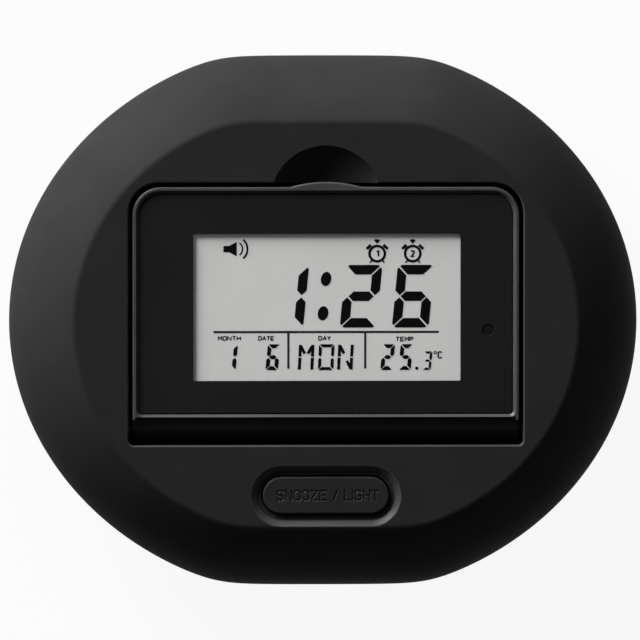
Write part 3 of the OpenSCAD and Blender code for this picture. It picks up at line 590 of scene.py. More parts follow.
def from_below(depth, r_floor, r_face):
    """Profile of a cutter that goes up into the underside."""
    return [(inset, Z_UNDER - rise) for inset, rise in pocket(-depth, 0, r_floor, r_face)][::-1]


def bay(skin, z0, z1):
    half = HATCH_HALF - BAY_LEDGE + skin
    return box(-half, half, HATCH_LOW + BAY_LEDGE - skin, HATCH_TOP - BAY_LEDGE + skin, z0, z1)


def round_wells(places, r, depth, edge):
    """Round recesses in the underside."""
    return Form().join(*[round_form(r, x, y, from_below(depth, 0, edge)) for x, y in places])


def motor_bore():
    bore = drum(MOTOR_R + SLACK, 0, 0, MOTOR_LOW.x - SLACK, MOTOR_HIGH.x + SLACK)
    return along_x(bore, MOTOR.y, MOTOR.z)


def lower_shell():
    z_clamp = cad("clamp_screws")[0].z
    space = shell_half(Z_UNDER, WALL).make("lower_space")
    ribs = [box(*span(x, CRADLE_T), MOTOR_LOW.y, MOTOR_HIGH.y, Z_UNDER, MOTOR.z - CRADLE_DROP)
            for x in (MOTOR_LOW.x + CRADLE_IN, MOTOR_HIGH.x - CRADLE_IN)]
    carve(space, bay(BAY_WALL, Z_UNDER, Z_BAY + BAY_ROOF),
          drums(SCREW_PLACES, BOSS_R, Z_UNDER, Z_PART - SLACK),
          Form().join(*ribs), drums(CLAMP_PLACES, CLAMP_BOSS_R, Z_UNDER, MOTOR.z),
          drum(BUZZER_R + BUZZER_RIB, BUZZER.x, BUZZER.y, Z_UNDER, Z_FLOOR + BUZZER_RIB_H))
    shell = shell_half(Z_UNDER).make("bottom_shell_moulding", SHELL)
    hatch = block(HATCH_HALF, HATCH_LOW, HATCH_TOP, DOOR_R, from_below(WALL, 0, HATCH_EDGE))
    tabs = [box(x - DOOR_TAB_W / 2 - DOOR_GAP, x + DOOR_TAB_W / 2 + DOOR_GAP, HATCH_TOP - BAY_LEDGE - SLACK,
                HATCH_TOP - BAY_LEDGE + BAY_WALL + SLACK, Z_FLOOR - SLACK, Z_FLOOR + DOOR_TAB_ROOM)
            for x in DOOR_TABS_X]
    sound = [(BUZZER.x + SOUND_RING_R * math.cos(a), BUZZER.y + SOUND_RING_R * math.sin(a))
             for a in (math.tau * k / SOUND_HOLES for k in range(SOUND_HOLES))]
    carve(shell, as_form(space), bay(0, Z_UNDER - BEYOND, Z_BAY), hatch, Form().join(*tabs), motor_bore(),
          drum(BUZZER_R + SLACK, BUZZER.x, BUZZER.y, Z_FLOOR, Z_FLOOR + BUZZER_RIB_H + BEYOND),
          drums(CLAMP_PLACES, CLAMP_SCREW_R, z_clamp - SLACK, MOTOR.z + BEYOND),
          round_wells(FOOT_PLACES, FOOT_R + FOOT_FIT, WALL / 2, FOOT_WELL_EDGE),
          round_wells(SCREW_PLACES, HEAD_R, HEAD_SINK, HEAD_WELL_EDGE),
          round_wells(sound, SOUND_HOLE_R, WALL + BEYOND, SOUND_EDGE),
          drums(SCREW_PLACES, SCREW_R + SHANK_FIT, Z_UNDER + HEAD_SINK - BEYOND, Z_PART + BEYOND))
    dress(soften(shell), "base", "shell_black", "bottom_shell")


lower_shell()


# Flip-up display: frame with a narrow rim, rounded lower edge and lift lip, black faceplate, clear pane

Z_BACK, Z_LEDGE, Z_PLATE = FRAME_LOW.z, PLATE_LOW.z, PLATE_HIGH.z
Z_RIM = FRAME_HIGH.z
BARREL_STEP = 0.1
Z_BARREL = Z_LEDGE + BARREL_STEP - BARREL_R
BARREL_STEPS = 24
FRAME_WALL = 2.0
FRAME_LAP = 1.5
PLATE_HALF = PLATE_HIGH.x
PLATE_R, PLATE_R_LOW = 3.7, 0.6
RIM_EDGE, BACK_EDGE, PLATE_EDGE, WINDOW_EDGE = 0.28, 0.5, 0.15, 0.12
RIM_FLANK, LOWER_LIP = 0.6, 0.62
# Depth below the rim's crest that takes the lighter finish painting its highlight
RIM_GLINT = 0.42
RIM_R_LEAST, RIM_R_LEAST_LOW = 0.4, 0.2
SEAT_FOOT, SEAT_TOP, SEAT_FLARE = 0.1, 0.02, 0.04
STEP_R = 0.2
LIP_W, LIP_T, LIP_EDGE = 12.8, 1.4, 0.35
LIP_BULGE = FRAME_HIGH.y - PANEL_TOP
LIP_R = ((LIP_W / 2) ** 2 + LIP_BULGE ** 2) / (2 * LIP_BULGE)
LIP_STEPS, LIP_ROOT = 24, 0.05
PANE_LOW, PANE_HIGH = cad("display_window")
PANE_MARGIN, PANE_SKIN = 2.4, 0.06
PANE_R, PANE_EDGE = 0.6, 0.02
WINDOW_TRIM, WINDOW_R = 0.3, 0.25
PLATE_BACK_EDGE = 0.05
WINDOW_HALF = PANE_HIGH.x - PANE_MARGIN
WINDOW_LOW, WINDOW_TOP = PANE_LOW.y + PANE_MARGIN, PANE_HIGH.y - PANE_MARGIN
SENSOR = middle("light_sensor")
SENSOR_R = 1.0
POST_R, POST_IN = 2.4, 3.9
POST_PLACES = [(x, y) for x in (POST_IN - PANEL_HALF, PANEL_HALF - POST_IN)
               for y in (PANEL_LOW + POST_IN, PANEL_TOP - POST_IN)]


def panel(inset, z):
    return plan(PANEL_HALF - inset, PANEL_LOW + inset, PANEL_TOP - inset,
                max(RIM_R_LEAST_LOW, PANEL_R_LOW - inset), max(RIM_R_LEAST, PANEL_R - inset), z)


def plate(inset, z):
    return plan(PLATE_HALF - inset, PLATE_LOW.y + inset, PLATE_HIGH.y - inset, PLATE_R_LOW - inset,
                PLATE_R - inset, z)


def plate_seat():
    """Cutter of the plate's seat, with a sloping flank from the plate up to the crest of the rim."""
    profile = [(-RIM_GAP, Z_LEDGE), (-RIM_GAP, Z_PLATE - SEAT_FOOT), (-RIM_FLANK, Z_RIM - SEAT_TOP),
               (-RIM_FLANK - SEAT_FLARE, Z_RIM + LIFT), (-RIM_FLANK - SEAT_FLARE, Z_RIM + BEYOND)]
    return lofted(plate, profile)


def lower_step(inset, z):
    """Ring of the step from the lip below the plate down to the rounded lower edge."""
    front = PLATE_LOW.y - RIM_GAP - LOWER_LIP
    return plan(PLATE_HALF + RIM_FLANK - inset, FRAME_LOW.y - BEYOND, front - inset, STEP_R, STEP_R, z)


def lift_lip(inset, z):
    """Ring of the lip that a thumb lifts: a shallow arc on the panel's upper edge."""
    half, arc_r = LIP_W / 2 - inset, LIP_R - inset
    y_arc, y_root = FRAME_HIGH.y - LIP_R, PANEL_TOP - RIM_W / 2
    ring = [(-half, y_root, z), (half, y_root, z)]
    for k in range(LIP_STEPS + 1):
        x = half - 2 * half * k / LIP_STEPS
        ring.append((x, max(y_root + LIP_ROOT, y_arc + math.sqrt(arc_r ** 2 - x ** 2)), z))
    return ring


def barrel_section(inset, x):
    """Section of the rounded lower edge: flat underside, upright front, quarter round up to the rim."""
    y_in, front = PANEL_LOW + FRAME_LAP, FRAME_LOW.y
    turns = [math.pi / 2 * (1 + k / BARREL_STEPS) for k in range(BARREL_STEPS + 1)]
    upper_r, lower_r = BARREL_R - inset, BACK_EDGE - inset
    ring = [(y_in, Z_BARREL + BARREL_R - inset, x)]
    ring += [(PANEL_LOW + upper_r * math.cos(a), Z_BARREL + upper_r * math.sin(a), x) for a in turns]
    ring += [(front + BACK_EDGE - lower_r * math.cos(a), Z_BACK + BACK_EDGE - lower_r * math.sin(a), x)
             for a in QUARTER]
    return ring + [(y_in, Z_BACK + inset, x)]


def display_frame():
    slab = lofted(panel, edges(Z_BACK, Z_RIM, BACK_EDGE, RIM_EDGE))
    frame_piece = slab.make("display_frame_moulding", FRAME)
    end_edge = RIM_EDGE - LIFT
    barrel = along_x(lofted(barrel_section, edges(-PANEL_HALF, PANEL_HALF, end_edge, end_edge)), 0, 0)
    lip = lofted(lift_lip, edges(Z_RIM - LIP_T, Z_RIM, LIP_EDGE, LIP_EDGE))
    carve(frame_piece, barrel, lip, operation="UNION")
    inside = lofted(panel, [(FRAME_WALL, Z_BACK - BEYOND), (FRAME_WALL, Z_LEDGE + LIFT)]).make("inside")
    carve(inside, drums(POST_PLACES, POST_R, cad("display_back")[1].z, Z_LEDGE))
    step = lofted(lower_step, pocket(Z_BARREL + BARREL_R, Z_RIM, 0, end_edge))
    carve(frame_piece, as_form(inside), plate_seat(), step)
    # The rim's crest takes the lighter finish that paints its highlight
    second_finish(frame_piece, RIM_PAINTED_HIGHLIGHT, lambda place: place.z > Z_RIM - RIM_GLINT)
    dress(soften(frame_piece), "display", "frame_black", "display_frame")


def faceplate():
    slab = lofted(plate, edges(Z_LEDGE, Z_PLATE, PLATE_BACK_EDGE, PLATE_EDGE))
    piece = slab.make("display_faceplate_gloss", FACEPLATE)
    through = [(0, Z_LEDGE - BEYOND)] + pocket(Z_LEDGE, Z_PLATE, 0, WINDOW_EDGE)[1:]
    window = block(WINDOW_HALF - WINDOW_TRIM / 2, WINDOW_LOW + WINDOW_TRIM, WINDOW_TOP, WINDOW_R, through,
                   shrink=1)
    window.turned(lambda v: (v.x + WINDOW_TRIM / 2, v.y, v.z))
    carve(piece, window, round_form(SENSOR_R, SENSOR.x, SENSOR.y, through))
    dress(soften(piece), "display", "faceplate", "display_faceplate")


def pane():
    """Clear skin in front of the picture; the film that carries the picture is bonded to its back."""
    profile = edges(PANE_HIGH.z - PANE_SKIN, PANE_HIGH.z, PANE_EDGE, PANE_EDGE)
    skin = block(PANE_HIGH.x, PANE_LOW.y, PANE_HIGH.y, PANE_R, profile)
    dress(soften(skin.make("display_window_pane", PANE)), "display", "window", "display_window")


display_frame()
faceplate()
pane()


# Strokes and segments for the display and the button

GLYPHS = {
    "A": [[(0, 0), (2, 6), (4, 0)], [(0.8, 2.2), (3.2, 2.2)]],
    "D": [[(0, 0), (0, 6), (2.6, 6), (4, 4.6), (4, 1.4), (2.6, 0), (0, 0)]],
    "C": [[(4, 5), (3, 6), (1, 6), (0, 5), (0, 1), (1, 0), (3, 0), (4, 1)]],
    "E": [[(4, 0), (0, 0), (0, 6), (4, 6)], [(0, 3), (3.4, 3)]],
    "G": [[(4, 5), (3, 6), (1, 6), (0, 5), (0, 1), (1, 0), (3, 0), (4, 1), (4, 2.8), (2.4, 2.8)]],
    "H": [[(0, 0), (0, 6)], [(4, 0), (4, 6)], [(0, 3), (4, 3)]],
    "I": [[(0, 0), (0, 6)]],
    "L": [[(0, 6), (0, 0), (3.6, 0)]],
    "M": [[(0, 0), (0, 6), (2, 2.5), (4, 6), (4, 0)]],
    "N": [[(0, 0), (0, 6), (4, 0), (4, 6)]],
    "O": [[(1, 0), (0, 1), (0, 5), (1, 6), (3, 6), (4, 5), (4, 1), (3, 0), (1, 0)]],
    "P": [[(0, 0), (0, 6), (3, 6), (4, 5.2), (4, 3.8), (3, 3), (0, 3)]],
    "S": [[(4, 5), (3, 6), (1, 6), (0, 5.2), (0, 3.8), (1, 3), (3, 3), (4, 2.2), (4, 0.8), (3, 0), (1, 0),
           (0, 1)]],
    "T": [[(0, 6), (4, 6)], [(2, 6), (2, 0)]],
    "Y": [[(0, 6), (2, 3), (4, 6)], [(2, 3), (2, 0)]],
    "Z": [[(0, 6), (4, 6), (0, 0), (4, 0)]],
    "/": [[(0, 0), (2.5, 6)]],
    "1": [[(0.6, 4.8), (2, 6), (2, 0)]],
    "2": [[(0, 5), (1, 6), (3, 6), (4, 5), (4, 3.8), (0, 0), (4, 0)]],
    " ": [],
}
GLYPH_H, GLYPH_SPACE, WORD_SPACE = 6.0, 1.7, 1.6
MITRE_LEAST, MITRE_MOST = 0.2, 2.0
SAME_PLACE = 1e-6
GROOVE_FLOOR = 0.12
SEGMENT_TIP = 0.3
DIGIT_BARS = {"1": "bc", "2": "abged", "3": "abgcd", "5": "afgcd", "6": "afgecd", "O": "abcdef"}


def glyph_width(sign):
    return max((x for line in GLYPHS[sign] for x, _ in line), default=WORD_SPACE)


def letter_lines(text, x0, x1, y, height, width):
    """Lines of plain stroke lettering between two ends, on a base line."""
    total = sum(glyph_width(c) for c in text) + GLYPH_SPACE * (len(text) - 1)
    inner, rise = (x1 - x0 - width) / total, (height - width) / GLYPH_H
    x = x0 + width / 2
    for sign in text:
        for line in GLYPHS[sign]:
            yield [(x + px * inner, y + width / 2 + py * rise) for px, py in line]
        x += (glyph_width(sign) + GLYPH_SPACE) * inner


def groove(start, end, width, z_top, depth):
    """Cutter of a tapered groove between two points."""
    start, end = Vector(start), Vector(end)
    way = (end - start).normalized() * width / 2
    rings = []
    for share, z in ((GROOVE_FLOOR, z_top - depth), (1, z_top + LIFT)):
        along, across = way * share, Vector((-way.y, way.x)) * share
        corners = (start - along - across, end + along - across, end + along + across, start - along + across)
        rings.append([(c.x, c.y, z) for c in corners])
    return Form().loft(rings)


def segments(w, h, t, gap):
    """Outlines of the seven bars of a digit."""
    mid, tip = h / 2, SEGMENT_TIP * t
    top = [(gap + tip / 2, h - tip / 2), (t + gap, h - t), (w - t - gap, h - t),
           (w - gap - tip / 2, h - tip / 2), (w - gap - tip, h), (gap + tip, h)]
    across = [(t / 2 + gap, mid), (t + gap, mid - t / 2), (w - t - gap, mid - t / 2), (w - t / 2 - gap, mid),
              (w - t - gap, mid + t / 2), (t + gap, mid + t / 2)]
    upper = [(0, h - gap - tip), (0, mid + t / 2 + gap), (t / 2, mid + gap), (t, mid + t / 2 + gap),
             (t, h - t - gap), (tip / 2, h - gap - tip / 2)]

    def flip_x(points):
        return [(w - x, y) for x, y in points][::-1]

    def flip_y(points):
        return [(x, h - y) for x, y in points][::-1]

    return {"a": top, "b": flip_x(upper), "c": flip_y(flip_x(upper)), "d": flip_y(top), "e": flip_y(upper),
            "f": upper, "g": across}


class Marks(Form):
    """Flat marks between two heights."""

    def __init__(self, z0, z1):
        super().__init__()
        self.z0, self.z1 = z0, z1

    def prism(self, points):
        """Flat piece over an outline that runs counter-clockwise."""
        self.loft([[(x, y, z) for x, y in points] for z in (self.z0, self.z1)])

    def stroke(self, points, width):
        """Ribbon along a line of points, mitred at its bends; it closes where the ends meet."""
        path = [Vector(p) for p in points]
        closed = (path[0] - path[-1]).length < SAME_PLACE
        ways = [(b - a).normalized() for a, b in zip(path, path[1:])]
        rings = []
        for i, place in enumerate(path):
            before = ways[i - 1] if i or closed else ways[0]
            after = ways[i % len(ways)] if i < len(ways) or closed else ways[-1]
            lean = (before + after).normalized()
            reach = min(MITRE_MOST, 1 / max(MITRE_LEAST, lean.dot(before)))
            side = Vector((-lean.y, lean.x)) * reach * width / 2
            right, left = place - side, place + side
            rings.append([(*right, self.z0), (*left, self.z0), (*left, self.z1), (*right, self.z1)])
        if closed:
            self.loop(rings[:-1])
        else:
            self.loft(rings)

    def words(self, text, x0, x1, y, height, width):
        for line in letter_lines(text, x0, x1, y, height, width):
            self.stroke(line, width)

    def digit(self, sign, x, y, w, h, t, gap, slant):
        """Segment digit with its lower left corner at a place."""
        bars = segments(w, h, t, gap)
        for bar in DIGIT_BARS[sign]:
            self.prism([(x + px + py * slant, y + py) for px, py in bars[bar]])


# Liquid-crystal panel and what it shows

LCD_LOW, LCD_HIGH = cad("lcd_glass")
LCD_R, LCD_EDGE = 0.3, 0.06
MARK_H = 0.03
Z_LCD = PANE_HIGH.z - PANE_SKIN - MARK_H
WINDOW_Y = (WINDOW_LOW + WINDOW_TOP) / 2
SLANT = math.tan(math.radians(5.5))
TIME_Y, TIME_W, TIME_H, TIME_BAR, TIME_GAP = -3.49, 6.5, 11.08, 1.68, 0.18
TIME_DIGITS = (("1", -10.54), ("2", 2.42), ("6", 11.65))
COLON = ((0.02, 5.12), (-0.52, -0.96))
COLON_W, COLON_H = 1.9, 2.57
RULE_Y, RULE_ENDS, RULE_T = -4.28, (-19.9, 19.98), 0.42
DIVIDERS, DIVIDER_LOW, DIVIDER_T = (-6.64, 6.96), -10.75, 0.42
LABELS = (("MONTH", -19.15, -15.0, -5.83), ("DATE", -12.0, -9.1, -5.83), ("DAY", -1.38, 0.95, -5.83),
          ("TEMP", 12.3, 15.5, -6.0))
LABEL_H, LABEL_T = 0.88, 0.23
SMALL_Y, SMALL_W, SMALL_H, SMALL_BAR, SMALL_GAP = -11.02, 2.2, 4.58, 0.7, 0.1
SMALL_DIGITS = (("1", -18.2), ("6", -10.72), ("2", 9.6), ("5", 12.8))
DAY_LETTERS = (("M", -5.0), ("O", -1.45), ("N", 1.95))
LETTER_BAR, LETTER_W, LETTER_LEAN = 0.54, 2.75, 0.5 * SLANT
SLOPE_TOP, SLOPE_END = (0.7, 0.35), (0.4, 0.64)
TENTHS_X, TENTHS_W, TENTHS_H, TENTHS_BAR, TENTHS_GAP = 17.08, 1.45, 3.3, 0.42, 0.08
DOT_SIDES = 12
POINT, POINT_R = (16.08, -10.72), 0.3
DEGREE, DEGREE_R, DEGREE_T = (19.35, -7.95), 0.22, 0.16
UNIT_X, UNIT_Y, UNIT_H, UNIT_T = (19.75, 20.6), -9.0, 1.3, 0.24
SPEAKER = (-18.14, 10.42)
SPEAKER_BOX, SPEAKER_CONE = (1.0, 0.56), (2.37, 1.28)
# Centre, radius, half angle and thickness of the sound waves
SPEAKER_WAVES = ((2.1, 1.3, 55, 0.28), (2.0, 2.25, 48, 0.36))
ALARM_ICONS = (("1", 9.06), ("2", 15.35))
ALARM_Y, ALARM_R, ALARM_T, ALARM_SIDES = 9.58, 1.36, 0.46, 32
# Ends and thickness of a bell and of a foot, right of the dial's middle
ALARM_BELL, ALARM_BELL_T = ((1.88, 0.82), (1.1, 1.56)), 0.52
ALARM_FOOT, ALARM_FOOT_T = ((0.9, -1.15), (1.28, -1.62)), 0.28
ALARM_KNOB = ((-0.54, 2.32), (0, 1.74), (0.54, 2.32), (0.32, 2.54), (-0.32, 2.54))
ALARM_SIGN_W, ALARM_SIGN_H, ALARM_SIGN_T = 0.76, 1.24, 0.28


def bend(x, y, r, start, end, steps=16):
    """Points along an arc, in degrees."""
    angles = [math.radians(start + (end - start) * k / steps) for k in range(steps + 1)]
    return [(x + r * math.cos(a), y + r * math.sin(a)) for a in angles]


def dot(x, y, r):
    """Outline of a round dot."""
    return bend(x, y, r, 0, 360 - 360 / DOT_SIDES, DOT_SIDES - 1)


def speaker_icon(marks, x, y):
    (box_w, box_h), (cone_w, cone_h) = SPEAKER_BOX, SPEAKER_CONE
    marks.prism([(x, y - box_h), (x + box_w, y - box_h), (x + cone_w, y - cone_h), (x + cone_w, y + cone_h),
                 (x + box_w, y + box_h), (x, y + box_h)])
    for centre, r, half_angle, t in SPEAKER_WAVES:
        marks.stroke(bend(x + centre, y, r, -half_angle, half_angle), t)


def alarm_icon(marks, sign, x, y):
    """Little alarm clock with a number on its dial."""
    marks.stroke(bend(x, y, ALARM_R, 0, 360, ALARM_SIDES), ALARM_T)
    for side in (-1, 1):
        for ends, t in ((ALARM_BELL, ALARM_BELL_T), (ALARM_FOOT, ALARM_FOOT_T)):
            marks.stroke([(x + side * px, y + py) for px, py in ends], t)
    marks.prism([(x + px, y + py) for px, py in ALARM_KNOB])
    marks.words(sign, *span(x, ALARM_SIGN_W), y - ALARM_SIGN_H / 2, ALARM_SIGN_H, ALARM_SIGN_T)


def day_letter(marks, sign, x):
    """Letter of the weekday, from bars with small gaps."""
    t, w, h, gap = LETTER_BAR, LETTER_W, SMALL_H, SMALL_GAP
    side = [[(t / 2, gap), (t / 2, h / 2 - gap)], [(t / 2, h / 2 + gap), (t / 2, h - gap)]]
    slope = [(SLOPE_TOP[0] * t, h - SLOPE_TOP[1]), (SLOPE_END[0] * w, SLOPE_END[1] * h)]
    lines = side + [[(w - px, py) for px, py in line] for line in side] + [slope]
    if sign == "M":
        lines.append([(w - px, py) for px, py in slope])
    else:
        lines.append([(w - px, h - py) for px, py in slope])
    for line in lines:
        marks.stroke([(x + px + py * LETTER_LEAN, SMALL_Y + py) for px, py in line], t)


def on_film(marks, name, finish):
    """Brings marks that are drawn about the window's middle to their place."""
    piece = marks.turned(lambda v: (v.x, v.y + WINDOW_Y, v.z)).make(name, finish)
    dress(piece, "display", "lcd")


def lcd_marks():
    """Time, date and temperature."""
    marks = Marks(Z_LCD, Z_LCD + MARK_H)
    for sign, x in TIME_DIGITS:
        marks.digit(sign, x, TIME_Y, TIME_W, TIME_H, TIME_BAR, TIME_GAP, SLANT)
    for x, y in COLON:
        marks.prism([(x + (px * COLON_W + py * COLON_H * SLANT) / 2, y + py * COLON_H / 2)
                     for px, py in dot(0, 0, 1)])
    for sign, x in SMALL_DIGITS:
        marks.digit(sign, x, SMALL_Y, SMALL_W, SMALL_H, SMALL_BAR, SMALL_GAP, SLANT)
    for sign, x in DAY_LETTERS:
        if sign == "O":
            marks.digit(sign, x, SMALL_Y, LETTER_W, SMALL_H, LETTER_BAR, SMALL_GAP, LETTER_LEAN)
        else:
            day_letter(marks, sign, x)
    marks.prism(dot(*POINT, POINT_R))
    marks.digit("3", TENTHS_X, SMALL_Y, TENTHS_W, TENTHS_H, TENTHS_BAR, TENTHS_GAP, SLANT)
    marks.stroke(bend(*DEGREE, DEGREE_R, 0, 360, DOT_SIDES), DEGREE_T)
    marks.words("C", *UNIT_X, UNIT_Y, UNIT_H, UNIT_T)
    speaker_icon(marks, *SPEAKER)
    for sign, x in ALARM_ICONS:
        alarm_icon(marks, sign, x, ALARM_Y)
    on_film(marks, "lcd_marks", INK)


def lcd_print():
    """Lines and labels printed on the film."""
    marks = Marks(Z_LCD, Z_LCD + MARK_H - LIFT)
    marks.stroke([(x, RULE_Y) for x in RULE_ENDS], RULE_T)
    for x in DIVIDERS:
        marks.stroke([(x, RULE_Y - RULE_T / 2), (x, DIVIDER_LOW)], DIVIDER_T)
    for text, x0, x1, y in LABELS:
        marks.words(text, x0, x1, y, LABEL_H, LABEL_T)
    on_film(marks, "lcd_print", PRINT)


def lcd_panel():
    slab = block(LCD_HIGH.x, LCD_LOW.y, LCD_HIGH.y, LCD_R, edges(LCD_LOW.z, Z_LCD, LCD_EDGE, LCD_EDGE))
    dress(soften(slab.make("lcd_panel", LCD)), "display", "lcd", "lcd_glass")


lcd_panel()
lcd_marks()
lcd_print()


# Buttons, keys and switch

SNOOZE_EDGE, SNOOZE_DROP = 0.35, 0.5
FLANGE_T, FLANGE_W = 0.8, 0.8
SNOOZE_STEM_R = 1.6
LETTER_H, LETTER_SPAN, LETTER_T, LETTER_DEPTH = 2.14, 18.4, 0.5, 0.14
# Neighbouring strokes differ a little in depth, so that no two cutters share a floor
LETTER_STAGGER = 0.007
LETTER_X = 0.34
KEY_EDGE = 0.45
Z_KEY_FLANGE = Z_WELL - WALL - SLACK
SIGN_SINK, SIGN_RISE = 0.05, 0.015
SIGN_RING_R, SIGN_RING_T, SIGN_RING_SIDES = 1.5, 0.28, 28
SIGN_HANDS, SIGN_HAND_T = ((0, 0.95), (0, 0), (0.7, 0)), 0.26
SIGN_ARROW = ((-1.3, -0.9), (1.3, -0.9), (0, 1.3))
SIGN_DIGIT_W, SIGN_DIGIT_H, SIGN_DIGIT_T = 1.6, 2.6, 0.34
KNOB_R, KNOB_EDGE = 0.5, 0.25
KNOB_GROOVES_X, KNOB_GROOVE_W, KNOB_GROOVE_DEPTH = (-1.0, 0.0, 1.0), 0.36, 0.3


def snooze_button():
    z_top = SNOOZE_HIGH.z - SNOOZE_DROP
    z_flange = Z_DISH - WALL - SLACK
    reach = BUTTON_FIT + FLANGE_W
    profile = [(-reach, z_flange - FLANGE_T), (-reach, z_flange)] + edges(z_flange, z_top, 0, SNOOZE_EDGE)
    piece = oblong_form(SNOOZE_W, SNOOZE_L, SNOOZE_Y, profile).make("snooze_button_cap", BUTTON)
    carve(piece, drum(SNOOZE_STEM_R, 0, SNOOZE_Y, SNOOZE_LOW.z, z_flange), operation="UNION")
    ends = span(LETTER_X, LETTER_SPAN)
    for line in letter_lines("SNOOZE / LIGHT", *ends, SNOOZE_Y - LETTER_H / 2, LETTER_H, LETTER_T):
        for k, (start, end) in enumerate(zip(line, line[1:])):
            depth = LETTER_DEPTH + LETTER_STAGGER * (k % 3)
            carve(piece, groove(start, end, LETTER_T, z_top, depth))
    dress(soften(piece), "snooze", "button", "snooze_button")


def key_mark(marks, key, x, y):
    """Generic sign on a setting key."""
    if key == "time_key":
        marks.stroke(bend(x, y, SIGN_RING_R, 0, 360, SIGN_RING_SIDES), SIGN_RING_T)
        marks.stroke([(x + px, y + py) for px, py in SIGN_HANDS], SIGN_HAND_T)
    elif key in ("up_key", "down_key"):
        way = 1 if key == "up_key" else -1
        marks.prism([(x + px * way, y + py * way) for px, py in SIGN_ARROW])
    else:
        number = key.split("_")[1]
        marks.words(number, *span(x, SIGN_DIGIT_W), y - SIGN_DIGIT_H / 2, SIGN_DIGIT_H, SIGN_DIGIT_T)


def setting_keys():
    for key in KEYS:
        low, high = cad(key)
        x, y, _ = middle(key)
        body = key[:-len("_key")]
        profile = [(-FLANGE_W, low.z), (-FLANGE_W, Z_KEY_FLANGE)] + edges(Z_KEY_FLANGE, high.z, 0, KEY_EDGE)
        piece = round_form(KEY_R, x, y, profile).make(key + "_cap", KEY)
        dress(soften(piece), body, "key", key)
        marks = Marks(high.z - SIGN_SINK, high.z + SIGN_RISE)
        key_mark(marks, key, x, y)
        dress(marks.make(key + "_sign", MARK), body, "key")


def mode_knob():
    low, high = cad("mode_switch_knob")
    y = middle("mode_switch_knob").y
    finger = block(MODE_W / 2, *span(y, MODE_L), KNOB_R, edges(low.z, high.z, 0, KNOB_EDGE), shrink=1)
    piece = finger.make("mode_switch_slider", KEY)
    slide = block(high.x, low.y, high.y, SLOT_R, [(0, low.z), (0, Z_KEY_FLANGE)])
    carve(piece, slide, operation="UNION")
    grooves = [box(*span(x, KNOB_GROOVE_W), *span(y, MODE_L + 2 * BEYOND), high.z - KNOB_GROOVE_DEPTH,
                   high.z + BEYOND) for x in KNOB_GROOVES_X]
    carve(piece, Form().join(*grooves))
    dress(soften(piece), "mode", "key", "mode_switch_knob")


snooze_button()
setting_keys()
mode_knob()


# Feet, battery door, cells and screws

FOOT_EDGE = 0.45
DOOR_T, DOOR_EDGE = 1.8, 0.25
TAB_T, TAB_LAP, TAB_SINK = 0.8, 0.02, 1
LATCH_W, LATCH_DEPTH, LATCH_FILLET, LATCH_EDGE = 12.0, 0.6, 0.4, 0.2
RIDGES, RIDGE_IN, RIDGE_PITCH, RIDGE_HALF_W = 3, 1.4, 1.1, 0.3
RIDGE_HALF_L, RIDGE_TAPER, RIDGE_EDGE, RIDGE_SINK = 2.6, 0.7, 0.12, 0.15
CELL_COUNT, CELL_GAP, CELL_L, CELL_NUB_R, CELL_NUB_L = 3, 0.4, 44.5, 1.9, 1.0
SLEEVE_T, SLEEVE_BACK, SLEEVE_FRONT = 0.9, 0.25, 0.1
SLEEVE_EDGE, SLEEVE_SHOULDER, CAN_EDGE, NUB_EDGE = 0.5, 0.7, 0.2, 0.3
SCREW_SIDES = 32
# Shares of the head: length and half width of the cross by its radius, depth and rounding by its height
CROSS_ARM, CROSS_HALF, CROSS_DEPTH, HEAD_ROUND = 0.68, 0.14, 0.6, 0.3


def rubber_feet():
    low, high = cad("rubber_feet")
    form = Form()
    for x, y in FOOT_PLACES:
        form.join(round_form(FOOT_R, x, y, edges(low.z, high.z, FOOT_EDGE, 0)))
    dress(soften(form.make("rubber_feet_pads", RUBBER)), "base", "rubber", "rubber_feet")


def battery_door():
    top = DOOR_HIGH.y - DOOR_TAB_L
    profile = edges(Z_UNDER, Z_UNDER + DOOR_T, DOOR_EDGE, 0)
    slab = block(DOOR_HIGH.x, DOOR_LOW.y, top, DOOR_R, profile, shrink=1)
    piece = slab.make("battery_door_plate", SHELL)
    for x in DOOR_TABS_X:
        x0, x1 = span(x, DOOR_TAB_W)
        root = box(x0, x1, top - BAY_LEDGE, top - TAB_LAP, Z_UNDER + TAB_SINK, DOOR_HIGH.z)
        tab = box(x0, x1, top - BAY_LEDGE / 2, DOOR_HIGH.y, DOOR_HIGH.z - TAB_T, DOOR_HIGH.z)
        carve(piece, root, tab, operation="UNION")
    carve(piece, round_form(LATCH_W / 2, 0, DOOR_LOW.y, from_below(LATCH_DEPTH, LATCH_FILLET, LATCH_EDGE)))
    for k in range(RIDGES):
        y = DOOR_LOW.y + RIDGE_IN + RIDGE_PITCH * k
        profile = edges(Z_UNDER + RIDGE_SINK, Z_UNDER + DOOR_T / 2, RIDGE_EDGE, 0)
        ridge = block(RIDGE_HALF_L - RIDGE_TAPER * k, y - RIDGE_HALF_W, y + RIDGE_HALF_W, RIDGE_EDGE,
                      profile)
        carve(piece, ridge, operation="UNION")
    dress(soften(piece), "door", "shell_black", "battery_door")


def laid(r, profile, y, z, about):
    """Round form along the axis of a cell, turned about if asked."""
    form = along_x(round_form(r, 0, 0, profile), y, z)
    return form.turned(lambda v: (-v.x, 2 * y - v.y, v.z)) if about else form


